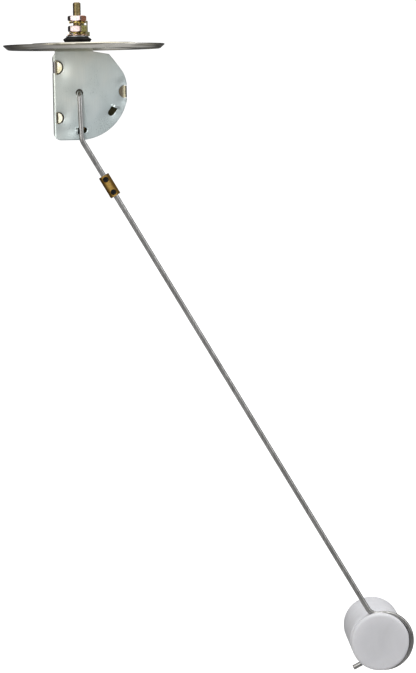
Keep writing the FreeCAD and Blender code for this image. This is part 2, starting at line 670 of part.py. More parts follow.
def wiper():
    """The hub pressed on the shaft, the springy arm riveted to it, and its contact."""
    y0, y1 = HUB_Y
    t = WIPER_T
    root, tip_half = WIPER_HALF
    hub = cylinder(PIVOT_X, y0, PIVOT_Z, HUB_R, y1 - y0, BACK)
    spigot = cylinder(PIVOT_X, y1, PIVOT_Z, HUB_SPIGOT_R, HUB_SPIGOT_L, BACK)
    through = cylinder(PIVOT_X, y0, PIVOT_Z, ROD_R + LOOSE, y1 - y0 + HUB_SPIGOT_L, BACK)
    corners = [
        Vector(0, y1, -root),
        Vector(WIPER_REACH, y1, -tip_half),
        Vector(WIPER_REACH, y1, tip_half),
        Vector(0, y1, root),
    ]
    blade = Part.Face(Part.makePolygon(corners + corners[:1])).extrude(Vector(0, t, 0))
    blade.rotate(Vector(0, 0, 0), Vector(0, -1, 0), WIPER_ANGLE)
    blade.translate(Vector(PIVOT_X, 0, PIVOT_Z))
    tip = polar(WIPER_REACH, WIPER_ANGLE)
    eye = cylinder(PIVOT_X, y1, PIVOT_Z, WIPER_EYE_R, t, BACK)
    pad = cylinder(tip.x, y1, tip.z, WIPER_PAD_R, t, BACK)
    arm = eye.fuse([blade, pad]).cut(cylinder(PIVOT_X, y1, PIVOT_Z, HUB_SPIGOT_R + LOOSE, t, BACK))
    arm = arm.cut(cylinder(tip.x, y1, tip.z, CONTACT_SHANK_R + LOOSE, t, BACK))
    shank = cylinder(tip.x, y1 - 0.3, tip.z, CONTACT_SHANK_R, t + 0.3, BACK)
    button = Part.makeCone(CONTACT_R[0], CONTACT_R[1], CONTACT_H, Vector(tip.x, y1 + t, tip.z), BACK)
    return {
        "wiper_hub": hub.fuse(spigot).cut(through).removeSplitter(),
        "wiper_arm": arm.removeSplitter(),
        "wiper_contact": shank.fuse(button).removeSplitter(),
    }


# ---- arm and float ------------------------------------------------------------------------------


def arm_direction():
    a = math.radians(ARM_ANGLE)
    return Vector(math.sin(a), 0, -math.cos(a))


def crank_rod():
    coupler = Vector(COUPLER_X, ARM_Y, COUPLER_Z)
    points = [
        Vector(PIVOT_X, SHAFT_END_Y, PIVOT_Z),
        Vector(PIVOT_X, ARM_Y, PIVOT_Z),
        Vector(PIVOT_X + CRANK_LEAN_X, ARM_Y, CRANK_BEND_Z),
        coupler - arm_direction() * 0.15,
    ]
    return rod_along(bent_path(points, (3.2, 9.0)), ROD_R)


def float_rod():
    u = arm_direction()
    left = Vector(-u.z, 0, u.x)
    start = Vector(COUPLER_X, ARM_Y, COUPLER_Z) + u * 0.15
    loop = Vector(LOOP_X, ARM_Y, LOOP_Z)
    bend = LOOP_ENTRY_BEND_R
    along = (loop - start).dot(u)
    across = bend - (loop - start).dot(left)
    run = along - math.sqrt((LOOP_R + bend) ** 2 - across ** 2)
    bend_start = start + u * run
    bend_centre = bend_start + left * bend
    to_bend = (bend_centre - loop).normalize()
    entry = loop + to_bend * LOOP_R
    bend_middle = bend_centre + ((bend_start - bend_centre).normalize() - to_bend).normalize() * bend

    def on_loop(degrees):
        a = math.radians(degrees)
        return loop + Vector(math.cos(a), 0, math.sin(a)) * LOOP_R

    loop_end = on_loop(LOOP_END_ANGLE)
    tail_centre = loop + (loop_end - loop) * ((LOOP_R + TAIL_BEND_R) / LOOP_R)
    tail_angle = math.radians(TAIL_DIRECTION)
    tail_way = Vector(math.cos(tail_angle), 0, math.sin(tail_angle))
    tail_start = tail_centre + Vector(-tail_way.z, 0, tail_way.x) * -TAIL_BEND_R
    tail_middle = ((loop_end - tail_centre).normalize() + (tail_start - tail_centre).normalize()).normalize()
    edges = [
        Part.LineSegment(start, bend_start).toShape(),
        Part.Arc(bend_start, bend_middle, entry).toShape(),
        Part.Arc(entry, on_loop(40), on_loop(-10)).toShape(),
        Part.Arc(on_loop(-10), on_loop(-66), loop_end).toShape(),
        Part.Arc(loop_end, tail_centre + tail_middle * TAIL_BEND_R, tail_start).toShape(),
        Part.LineSegment(tail_start, tail_start + tail_way * TAIL_LENGTH).toShape(),
    ]
    return rod_along(edges, ROD_R)


def place_on_arm(shape):
    """Turn a shape made upright at the origin into line with the arm, at the coupler."""
    shape.rotate(Vector(0, 0, 0), Vector(0, -1, 0), ARM_ANGLE)
    shape.translate(Vector(COUPLER_X, ARM_Y, COUPLER_Z))
    return shape


def coupler_parts():
    half = COUPLER_W / 2
    block = box(-half, half, -half, half, -COUPLER_L / 2, COUPLER_L / 2)
    long_edges = [e for e in block.Edges if e.BoundBox.ZLength > COUPLER_L / 2]
    block = block.makeChamfer(COUPLER_CHAMFER, long_edges)
    block = block.cut(cylinder(0, 0, -COUPLER_L / 2, ROD_R + 0.05, COUPLER_L))
    screws = []
    for z in (-SCREW_PITCH / 2, SCREW_PITCH / 2):
        block = block.cut(cylinder(0, -half, z, SCREW_R + 0.03, half, BACK))
        length = half - 0.25 - (ROD_R - 0.05)
        screw = cylinder(0, -half + 0.25, z, SCREW_R, length, BACK)
        points = []
        for k in range(6):
            a = math.radians(60 * k)
            points.append(Vector(0.75 * math.cos(a), -half, z + 0.75 * math.sin(a)))
        socket = Part.Face(Part.makePolygon(points + points[:1])).extrude(Vector(0, 1.0, 0))
        screws.append(place_on_arm(screw.cut(socket)))
    return {"rod_coupler": place_on_arm(block), "set_screws": Part.makeCompound(screws)}


def float_parts():
    wall = FLOAT_WALL
    inner_neck = GROOVE_R - wall
    body = revolve_y(
        [
            (0, FLOAT_BACK),
            (FLOAT_BACK_R - 2.2, FLOAT_BACK),
            (FLOAT_BACK_R - 0.8, FLOAT_BACK - 0.5),
            (FLOAT_BACK_R, FLOAT_BACK - 2.0),
            (FLOAT_R, GROOVE_BACK + 0.8),
            (FLOAT_R - 0.6, GROOVE_BACK),
            (GROOVE_R, GROOVE_BACK),
            (GROOVE_R, LIP_BACK),
            (inner_neck, LIP_BACK),
            (inner_neck, GROOVE_BACK + wall),
            (FLOAT_BACK_R - wall, GROOVE_BACK + 3 * wall),
            (FLOAT_BACK_R - wall, FLOAT_BACK - 2 * wall),
            (FLOAT_BACK_R - 2 * wall, FLOAT_BACK - wall),
            (0, FLOAT_BACK - wall),
        ],
        FLOAT_X, FLOAT_Z,
    )
    spigot_r = inner_neck - 0.05
    cap = revolve_y(
        [
            (0, FLOAT_FRONT),
            (FLOAT_R - 1.3, FLOAT_FRONT),
            (FLOAT_R - 0.4, FLOAT_FRONT + 0.4),
            (FLOAT_R, FLOAT_FRONT + 1.3),
            (FLOAT_R, LIP_BACK - 0.4),
            (FLOAT_R - 0.4, LIP_BACK),
            (spigot_r, LIP_BACK),
            (spigot_r, LIP_BACK + 2.0),
            (spigot_r - wall, LIP_BACK + 2.0),
            (spigot_r - wall, FLOAT_FRONT + wall),
            (0, FLOAT_FRONT + wall),
        ],
        FLOAT_X, FLOAT_Z,
    )
    return {"float_body": body, "float_cap": cap}


# ---- build --------------------------------------------------------------------------------------


def build():
    nodes = {
        "mounting_flange": mounting_flange(),
        "front_plate": front_plate(),
        "housing_cover": housing_cover(),
        "crank_rod": crank_rod(),
        "float_rod": float_rod(),
    }
    nodes.update(terminal_stack())
    nodes.update(rheostat())
    nodes.update(bearings())
    nodes.update(wiper())
    nodes.update(coupler_parts())
    nodes.update(float_parts())
    return nodes


os.makedirs("parts", exist_ok=True)
for name, shape in sorted(build().items()):
    state = "valid" if shape.isValid() else "NOT VALID"
    print(name, state, len(shape.Solids), "solids", round(shape.Volume, 1), "mm3")
    shape.exportStep("parts/" + name + ".step")
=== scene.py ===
import bmesh
import bpy
import json
import math
from mathutils import Matrix, Vector


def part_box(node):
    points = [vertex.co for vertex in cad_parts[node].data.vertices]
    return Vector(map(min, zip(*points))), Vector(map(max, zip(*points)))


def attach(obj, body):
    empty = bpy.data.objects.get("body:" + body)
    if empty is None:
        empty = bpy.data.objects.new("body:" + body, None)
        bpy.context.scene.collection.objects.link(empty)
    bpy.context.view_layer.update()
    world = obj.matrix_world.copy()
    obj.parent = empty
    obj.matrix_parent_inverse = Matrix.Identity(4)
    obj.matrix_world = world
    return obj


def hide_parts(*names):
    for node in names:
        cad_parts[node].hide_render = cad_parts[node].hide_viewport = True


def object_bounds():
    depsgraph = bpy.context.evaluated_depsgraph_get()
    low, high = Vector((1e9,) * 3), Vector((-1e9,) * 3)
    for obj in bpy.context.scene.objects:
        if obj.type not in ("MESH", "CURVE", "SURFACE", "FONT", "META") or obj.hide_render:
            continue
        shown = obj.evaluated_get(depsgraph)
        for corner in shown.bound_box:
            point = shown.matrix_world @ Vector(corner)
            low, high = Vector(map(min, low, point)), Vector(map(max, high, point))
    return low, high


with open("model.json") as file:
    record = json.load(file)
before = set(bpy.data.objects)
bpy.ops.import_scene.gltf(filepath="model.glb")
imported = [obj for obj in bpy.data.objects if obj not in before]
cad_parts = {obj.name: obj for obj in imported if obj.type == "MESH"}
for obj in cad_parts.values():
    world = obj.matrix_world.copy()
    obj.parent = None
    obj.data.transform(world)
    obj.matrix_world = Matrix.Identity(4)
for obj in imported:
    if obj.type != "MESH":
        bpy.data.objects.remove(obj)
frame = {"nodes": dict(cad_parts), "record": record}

CAD_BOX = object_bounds()
MM = 0.001
X_AXIS = Vector((1, 0, 0))
Y_AXIS = Vector((0, 1, 0))
Z_AXIS = Vector((0, 0, 1))
HOUSING = "housing"
ARM = "arm"
CIRCLE = 2 * math.pi

# places that come from the frame
MOUNTS = {m["name"]: m for m in frame["record"]["mounts"]}
JOINT = frame["record"]["behaviour"]["joints"][0]
PIVOT = Vector(JOINT["pos_m"])
PLATE_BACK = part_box("front_bush")[0].y
STUD_X = MOUNTS["terminal_post"]["pos_m"][0]
STUD_LINE = Vector((STUD_X, 0, 0))
STUD_R = MOUNTS["terminal_post"]["dims"]["r_mm"] * MM
FLANGE_SCREWS = MOUNTS["flange_screws"]["dims"]
COUPLER_LOW, COUPLER_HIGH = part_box("rod_coupler")
COUPLER = (COUPLER_LOW + COUPLER_HIGH) / 2
CAP_LOW, CAP_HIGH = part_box("float_cap")
FLOAT = Vector(((CAP_LOW.x + CAP_HIGH.x) / 2, 0, (CAP_LOW.z + CAP_HIGH.z) / 2))

# sizes
ROD_R = 1.35 * MM
WIRE_ROOM = 0.03 * MM      # keeps the long wire just inside the CAD shape
ARM_ANGLE = math.radians(30.3)
ARM_WAY = Vector((math.sin(ARM_ANGLE), 0, -math.cos(ARM_ANGLE)))
COUPLER_HALF = 2.85 * MM   # half its width
COUPLER_LENGTH = 12.0 * MM
SET_SCREW_R = 1.45 * MM
SET_SCREW_PLACES = (-3.8 * MM, 3.8 * MM)      # along the coupler, from its middle
NUT_FLAT = 4.365 * MM      # from the middle to a flat
THREAD_PITCH = 0.794 * MM
TEETH = 8
TOOTH_TURN = math.radians(33.0)
LOOP = FLOAT + Vector((2.45 * MM, PIVOT.y, -0.19 * MM))
LOOP_R = 14.7 * MM
LOOP_END = math.radians(-124.5)
TAIL_R = 3.5 * MM
TAIL_WAY = math.radians(207.8)
TAIL_LENGTH = 5.2 * MM
FLOAT_WALL = 1.5 * MM
GROOVE_R = 12.6 * MM
GROOVE_BACK = -6.4 * MM
LIP_BACK = -9.6 * MM
SHEET_GRID = 0.75 * MM
EDGE_SOFT = 0.18 * MM       # rounding of the front plate's edges
DIMPLE_STRENGTH = 0.8


# ---- camera -------------------------------------------------------------------------------------

CAMERA_AT = Vector((13.83, -1260.0, -23.36)) * MM
CAMERA_YAW = math.radians(2.2)
CAMERA_PITCH = math.radians(5.8)
CAMERA_ROLL = math.radians(0.9)
CAMERA_LENS = 128.4


def make_camera():
    data = bpy.data.cameras.new("camera")
    data.lens = CAMERA_LENS
    data.sensor_width = 36.0
    camera = bpy.data.objects.new("camera", data)
    bpy.context.scene.collection.objects.link(camera)
    forward = Vector((
        math.sin(CAMERA_YAW) * math.cos(CAMERA_PITCH),
        math.cos(CAMERA_YAW) * math.cos(CAMERA_PITCH),
        -math.sin(CAMERA_PITCH),
    ))
    level = Vector((math.cos(CAMERA_YAW), -math.sin(CAMERA_YAW), 0))
    upright = level.cross(forward)
    right = level * math.cos(CAMERA_ROLL) - upright * math.sin(CAMERA_ROLL)
    up = level * math.sin(CAMERA_ROLL) + upright * math.cos(CAMERA_ROLL)
    turn = Matrix((right, up, -forward)).transposed()
    camera.matrix_world = Matrix.Translation(CAMERA_AT) @ turn.to_4x4()
    bpy.context.scene.camera = camera


# ---- materials ----------------------------------------------------------------------------------


class Nodes:
    """A short way to lay out the nodes of a material or of the world."""

    def __init__(self, owner, coords="Object"):
        owner.use_nodes = True
        self.tree = owner.node_tree
        self.coords = self.tree.nodes.new("ShaderNodeTexCoord").outputs[coords]

    def link(self, a, b):
        self.tree.links.new(a, b)

    def scaled(self, scale, turn=(0, 0, 0)):
        """The coordinates, times a scale for each axis, after a turn."""
        node = self.tree.nodes.new("ShaderNodeMapping")
        node.inputs["Rotation"].default_value = turn
        node.inputs["Scale"].default_value = scale
        self.link(self.coords, node.inputs["Vector"])
        return node.outputs["Vector"]

    def noise(self, scale, detail=4.0, turn=(0, 0, 0), distortion=0.0):
        """Noise with a feature size set per axis, in features per metre."""
        node = self.tree.nodes.new("ShaderNodeTexNoise")
        scale = (scale,) * 3 if isinstance(scale, (int, float)) else scale
        self.link(self.scaled(scale, turn), node.inputs["Vector"])
        node.inputs["Scale"].default_value = 1.0
        node.inputs["Detail"].default_value = detail
        node.inputs["Roughness"].default_value = 0.55
        node.inputs["Distortion"].default_value = distortion
        return node.outputs["Fac"]

    def ramp(self, value, stops):
        """A colour for each stop: (place, (r, g, b))."""
        node = self.tree.nodes.new("ShaderNodeValToRGB")
        points = node.color_ramp.elements
        while len(points) < len(stops):
            points.new(0.5)
        for point, (place, colour) in zip(points, stops):
            point.position = place
            point.color = (*colour, 1.0)
        self.link(value, node.inputs["Fac"])
        return node.outputs["Color"]

    def spread(self, value, low, high, start=0.3, end=0.7):
        """value's middle range, spread from low to high."""
        node = self.tree.nodes.new("ShaderNodeMapRange")
        node.inputs["From Min"].default_value = start
        node.inputs["From Max"].default_value = end
        node.inputs["To Min"].default_value = low
        node.inputs["To Max"].default_value = high
        self.link(value, node.inputs["Value"])
        return node.outputs["Result"]

    def past(self, value, place, width):
        """0 below place and 1 above it, with a soft edge of that width."""
        return self.spread(value, 0.0, 1.0, place - width / 2, place + width / 2)

    def before(self, value, place, width):
        """1 below place and 0 above it, with a soft edge of that width."""
        return self.spread(value, 1.0, 0.0, place - width / 2, place + width / 2)

    def camera_ray(self):
        """1 for what the camera sees directly, and 0 for reflections and bounced light."""
        return self.tree.nodes.new("ShaderNodeLightPath").outputs["Is Camera Ray"]

    def mix(self, factor, a, b):
        node = self.tree.nodes.new("ShaderNodeMix")
        node.data_type = "RGBA"
        slots = {"Factor": node.inputs[0], "A": node.inputs[6], "B": node.inputs[7]}
        for key, value in (("Factor", factor), ("A", a), ("B", b)):
            if isinstance(value, (int, float)):
                slots[key].default_value = value
            elif isinstance(value, tuple):
                slots[key].default_value = (*value, 1.0)
            else:
                self.link(value, slots[key])
        return node.outputs[2]

    def axis(self, name):
        """The coordinate along one axis."""
        node = self.tree.nodes.new("ShaderNodeSeparateXYZ")
        self.link(self.coords, node.inputs["Vector"])
        return node.outputs[name]

    def maths(self, operation, a, b=0.0):
        node = self.tree.nodes.new("ShaderNodeMath")
        node.operation = operation
        self.link(a, node.inputs[0])
        if isinstance(b, (int, float)):
            node.inputs[1].default_value = b
        else:
            self.link(b, node.inputs[1])
        return node.outputs[0]

    def add(self, a, b):
        return self.maths("ADD", a, b)

    def distance(self, point, direction):
        """How far a place lies from point along direction, on either side."""
        node = self.tree.nodes.new("ShaderNodeVectorMath")
        node.operation = "DOT_PRODUCT"
        self.link(self.coords, node.inputs[0])
        node.inputs[1].default_value = direction
        past = self.maths("SUBTRACT", node.outputs["Value"], direction.dot(point))
        return self.maths("ABSOLUTE", past)

    def radius(self, x):
        """Distance from the upright line at x."""
        place = self.tree.nodes.new("ShaderNodeMapping")
        place.inputs["Location"].default_value = (-x, 0, 0)
        place.inputs["Scale"].default_value = (1, 1, 0)
        self.link(self.coords, place.inputs["Vector"])
        length = self.tree.nodes.new("ShaderNodeVectorMath")
        length.operation = "LENGTH"
        self.link(place.outputs["Vector"], length.inputs[0])
        return length.outputs["Value"]


class Surface(Nodes):
    """A named material and its shader."""

    def __init__(self, name):
        self.material = bpy.data.materials.new(name)
        super().__init__(self.material)
        self.shader = self.tree.nodes["Principled BSDF"]

    def bump(self, height, strength, distance):
        node = self.tree.nodes.new("ShaderNodeBump")
        node.inputs["Strength"].default_value = strength
        node.inputs["Distance"].default_value = distance
        self.link(height, node.inputs["Height"])
        self.link(node.outputs["Normal"], self.shader.inputs["Normal"])

    def set(self, **values):
        names = {
            "metallic": "Metallic", "roughness": "Roughness", "specular": "Specular IOR Level",
            "coat": "Coat Weight", "coat_roughness": "Coat Roughness", "anisotropic": "Anisotropic",
            "subsurface": "Subsurface Weight", "subsurface_scale": "Subsurface Scale",
            "subsurface_radius": "Subsurface Radius", "ior": "IOR",
        }
        for key, value in values.items():
            self.shader.inputs[names[key]].default_value = value

    def colour(self, output):
        self.link(output, self.shader.inputs["Base Color"])

    def rough(self, output):
        self.link(output, self.shader.inputs["Roughness"])


def plated_metal(name, dark, light, rough, grain=(900, 900, 180)):
    """Zinc or bare metal: a cloudy tone and fine rolling grain."""
    n = Surface(name)
    n.set(metallic=1.0)
    cloud = n.noise(120, detail=5.0)
    colour = n.ramp(cloud, [(0.3, dark), (0.7, light)])
    grain_noise = n.noise(grain, detail=3.0)
    colour = n.mix(n.spread(grain_noise, 0.0, 0.25), colour, tuple(0.72 * c for c in dark))
    n.colour(colour)
    n.rough(n.spread(n.add(cloud, grain_noise), rough[0], rough[1], 0.7, 1.3))
    n.bump(grain_noise, 0.06, 0.0002)
    return n.material


def nut_side_reflections(n, colour):
    """The nuts' right-hand sides: a painted reflection tint, copper on the top nut and olive on the lower
    one.
    """
    ragged = n.maths("MULTIPLY", n.noise(300, detail=3.0), 1.2 * MM)
    # painted reflection tint on the faces that turn to the right
    side = n.spread(n.add(n.axis("X"), ragged), 0.0, 0.92, STUD_X + 2.4 * MM, STUD_X + 3.2 * MM)
    upper = n.past(n.axis("Z"), 13.0 * MM, 0.8 * MM)
    return n.mix(side, colour, n.mix(upper, (0.64, 0.60, 0.20), (0.78, 0.33, 0.19)))


def ear_painted_light(n, colour):
    """Painted light on the cover's ears: painted shade in the folds beside the two left ears and a painted
    highlight on their outer bend; on the right ear, painted shade on its flat end, a painted highlight on its
    bend and painted shade along its edge.
    """
    soft = 0.2 * MM
    raised = n.before(n.axis("Y"), -4.4 * MM, soft)
    ragged = n.maths("MULTIPLY", n.noise(900, detail=2.0), 0.5 * MM)
    x = n.add(n.axis("X"), ragged)
    left = n.maths("MULTIPLY", raised, n.before(x, -13.65 * MM, soft))
    outer = n.before(x, -14.9 * MM, soft)
    # painted shade in the folds beside the two left ears
    fold_shade = n.maths("MULTIPLY", left, n.maths("SUBTRACT", left, outer))
    colour = n.mix(n.maths("MULTIPLY", fold_shade, 0.9), colour, (0.05, 0.042, 0.03))
    # painted highlight on the left ears' outer bend
    stem_highlight = n.maths("MULTIPLY", outer, n.before(n.axis("Y"), -2.0 * MM, 1.0 * MM))
    colour = n.mix(n.maths("MULTIPLY", stem_highlight, 0.8), colour, (0.80, 0.77, 0.82))
    # painted shade on the right ear's flat end
    leaf_shade = n.maths("MULTIPLY", raised, n.past(x, 10.1 * MM, soft))
    colour = n.mix(leaf_shade, colour, (0.34, 0.29, 0.21))
    # painted highlight on the right ear's bend
    knee_highlight = n.maths("MULTIPLY", leaf_shade, n.past(x, 20.0 * MM, soft))
    colour = n.mix(knee_highlight, colour, (0.95, 0.88, 0.62))
    # painted shade along the right ear's edge
    return n.mix(n.past(x, 21.2 * MM, soft), colour, (0.12, 0.09, 0.06))


def stud_streaks(n, colour):
    """Dark brown and greenish streaks up the stud, and mottled gold on the toothed washers round it."""
    brown = n.spread(n.noise((640, 640, 20), detail=2.0), 0.0, 0.92, 0.44, 0.54)
    colour = n.mix(brown, colour, (0.075, 0.045, 0.02))
    green = n.spread(n.noise((1100, 1100, 60), detail=2.0, turn=(0, 0, 1.3)), 0.0, 0.5, 0.5, 0.62)
    colour = n.mix(green, colour, (0.40, 0.42, 0.16))
    teeth = n.ramp(n.noise(500, detail=2.0), [(0.38, (0.20, 0.13, 0.04)), (0.55, (0.88, 0.72, 0.22))])
    return n.mix(n.past(n.radius(STUD_X), 2.45 * MM, 0.3 * MM), colour, teeth)


def tag_lobes(n, colour):
    """The tag's ring is tan and pink, and its blade stays olive."""
    ring = n.before(n.axis("Y"), 4.9 * MM, 0.6 * MM)
    lobes = n.ramp(n.noise(420, detail=2.0), [(0.35, (0.30, 0.17, 0.09)), (0.65, (0.80, 0.58, 0.46))])
    return n.mix(ring, colour, lobes)


def passivated(name, tints, rough, scale=210, extra=None):
    """Yellow chromate: thin-film colours that drift from gold to pink, green and violet."""
    n = Surface(name)
    n.set(metallic=1.0, coat=0.25, coat_roughness=0.2)
    drift = n.noise(scale, detail=2.5, distortion=1.2)
    steps = [0.28 + 0.44 * i / (len(tints) - 1) for i in range(len(tints))]
    colour = n.ramp(drift, list(zip(steps, tints)))
    fine = n.noise(1500, detail=2.0)
    colour = n.mix(n.spread(fine, 0.0, 0.3), colour, tuple(0.6 * c for c in tints[0]))
    if extra:
        colour = extra(n, colour)
    n.colour(colour)
    n.rough(n.spread(fine, rough[0], rough[1]))
    n.bump(fine, 0.08, 0.0001)
    return n.material


def clear_zinc():
    n = Surface("clear_zinc_plate")
    n.set(metallic=0.92, anisotropic=0.25)
    cloud = n.noise(55, detail=4.0, distortion=0.4)
    cool = n.ramp(cloud, [
        (0.28, (0.68, 0.775, 0.775)),
        (0.5, (0.745, 0.835, 0.84)),
        (0.72, (0.80, 0.86, 0.85)),
    ])
    warm = n.ramp(cloud, [
        (0.28, (0.70, 0.75, 0.69)),
        (0.5, (0.78, 0.82, 0.755)),
        (0.72, (0.84, 0.85, 0.77)),
    ])
    slant = n.add(n.maths("MULTIPLY", n.axis("X"), -1.0), n.axis("Z"))
    lean = n.add(slant, n.maths("MULTIPLY", n.noise(60, detail=3.0), 0.03))
    tone = n.mix(n.spread(lean, 0.0, 1.0, -0.028, 0.012), cool, warm)
    rolling = n.noise((2600, 2600, 90), detail=4.0)
    tone = n.mix(n.spread(rolling, 0.0, 0.12), tone, (0.45, 0.50, 0.49))
    crystals = n.noise(2200, detail=3.0)
    tone = n.mix(n.spread(crystals, 0.0, 0.10, 0.5, 0.75), tone, (0.80, 0.83, 0.80))
    n.colour(tone)
    n.rough(n.spread(n.add(cloud, crystals), 0.26, 0.38, 0.7, 1.3))
    n.bump(n.add(rolling, crystals), 0.09, 0.00012)
    return n.material


def flange_zinc():
    """Bright zinc with long painted reflection streaks, dark and bright, round the rim, and painted shade
    that darkens the left.
    """
    n = Surface("flange_zinc_plate")
    n.set(metallic=1.0)
    cloud = n.noise((38, 38, 260), detail=5.0, distortion=0.5)
    tone = n.ramp(cloud, [
        (0.3, (0.35, 0.32, 0.235)),
        (0.5, (0.56, 0.52, 0.39)),
        (0.7, (0.78, 0.75, 0.65)),
    ])
    # painted reflections: dark and bright streaks round the rim
    reflection_streak = n.noise((26, 26, 620), detail=2.5, distortion=0.4)
    tone = n.mix(n.spread(reflection_streak, 0.0, 0.82, 0.50, 0.58), tone, (0.125, 0.112, 0.085))
    painted_gleam = n.noise((22, 22, 520), detail=2.0, turn=(0.06, 0.05, 0.7))
    tone = n.mix(n.spread(painted_gleam, 0.0, 0.95, 0.47, 0.56), tone, (1.0, 0.97, 0.90))
    # painted shade: the left of the flange is darkened
    left = n.spread(n.axis("X"), 0.5, 0.0, -22 * MM, 2 * MM)
    tone = n.mix(left, tone, (0.10, 0.10, 0.115))
    fine = n.noise(1400, detail=3.0)
    tone = n.mix(n.spread(fine, 0.0, 0.2), tone, (0.30, 0.28, 0.24))
    n.colour(tone)
    n.rough(n.spread(n.add(cloud, fine), 0.10, 0.22, 0.7, 1.3))
    n.bump(fine, 0.05, 0.00012)
    return n.material


def rubber():
    n = Surface("black_seal_rubber")
    n.set(specular=0.12)
    fine = n.noise(2600, detail=5.0)
    cloud = n.noise(260, detail=4.0)
    colour = n.ramp(cloud, [(0.35, (0.006, 0.006, 0.006)), (0.7, (0.022, 0.021, 0.019))])
    n.colour(colour)
    n.rough(n.spread(fine, 0.68, 0.9))
    n.bump(fine, 0.35, 0.0002)
    return n.material


def rod_steel():
    """Drawn wire: grain along the rod, and painted shade that darkens it towards the float."""
    n = Surface("drawn_steel_wire")
    n.set(metallic=1.0)
    arm_turn = (0, ARM_ANGLE, 0)
    grain = n.noise((1500, 1500, 25), detail=3.0, turn=arm_turn)
    cloud = n.noise((260, 260, 130), detail=5.0)
    # painted light: a lit tone and a shaded copy of it, the shaded copy taking over towards the float
    bright = n.ramp(cloud, [(0.3, (0.48, 0.475, 0.465)), (0.7, (0.72, 0.715, 0.705))])
    shaded_tone = n.ramp(cloud, [(0.3, (0.34, 0.335, 0.32)), (0.7, (0.58, 0.575, 0.56))])
    height = n.spread(n.axis("Z"), 1.0, 0.0, -0.31, -0.06)
    tone = n.mix(height, bright, shaded_tone)
    tone = n.mix(n.spread(grain, 0.0, 0.55), tone, (0.12, 0.12, 0.12))
    n.colour(tone)
    n.rough(n.spread(n.add(cloud, grain), 0.14, 0.28, 0.7, 1.3))
    n.bump(grain, 0.12, 0.00012)
    return n.material


def aged_and_shaded_brass():
    n = Surface("aged_coupler_brass_with_shade")
    n.set(metallic=1.0)
    cloud = n.noise(230, detail=6.0, distortion=0.8)
    tone = n.ramp(cloud, [
        (0.3, (0.36, 0.19, 0.035)),
        (0.48, (0.74, 0.43, 0.10)),
        (0.7, (1.0, 0.68, 0.22)),
    ])
    saw = n.noise((400, 400, 3000), detail=2.0, turn=(0, ARM_ANGLE, 0))
    tone = n.mix(n.spread(saw, 0.0, 0.3), tone, (0.13, 0.07, 0.02))
    # painted shade: the block darkens away from its middle, along its long sides
    low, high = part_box("rod_coupler")
    across = Vector((math.cos(ARM_ANGLE), 0, math.sin(ARM_ANGLE)))
    side_shade = n.spread(n.distance((low + high) / 2, across), 0.0, 0.92, 0.7 * MM, 1.9 * MM)
    tone = n.mix(side_shade, tone, (0.10, 0.055, 0.014))
    n.colour(tone)
    n.rough(n.spread(cloud, 0.42, 0.25))
    n.bump(saw, 0.12, 0.00012)
    return n.material


def black_oxide():
    n = Surface("black_oxide_screw")
    n.set(metallic=0.7)
    fine = n.noise(1800, detail=3.0)
    n.colour(n.ramp(fine, [(0.3, (0.006, 0.006, 0.008)), (0.75, (0.035, 0.033, 0.032))]))
    n.rough(n.spread(fine, 0.32, 0.5))
    n.bump(fine, 0.1, 0.0001)
    return n.material


def float_plastic():
    """Milky polyethylene: light passes a little way in, with faint flow marks and scuffs."""
    n = Surface("milky_float_plastic")
    n.set(subsurface=0.35, subsurface_scale=0.006, subsurface_radius=(1.0, 0.95, 0.9))
    n.set(specular=0.32, ior=1.5)
    cloud = n.noise(70, detail=4.0, distortion=0.5)
    tone = n.ramp(cloud, [(0.3, (0.72, 0.72, 0.745)), (0.7, (0.79, 0.79, 0.82))])
    flow = n.noise((60, 500, 60), detail=4.0)
    tone = n.mix(n.spread(flow, 0.0, 0.24), tone, (0.62, 0.62, 0.66))
    n.colour(tone)
    scuff = n.noise(900, detail=6.0)
    n.rough(n.spread(scuff, 0.40, 0.62))
    n.bump(n.add(flow, scuff), 0.10, 0.0002)
    return n.material


def board(name, dark, light):
    """Pressed fibre or paper board."""
    n = Surface(name)
    n.set(specular=0.3)
    fibre = n.noise((1600, 300, 1600), detail=5.0)
    n.colour(n.ramp(fibre, [(0.3, dark), (0.7, light)]))
    n.rough(n.spread(fibre, 0.55, 0.75))
    n.bump(fibre, 0.2, 0.0002)
    return n.material


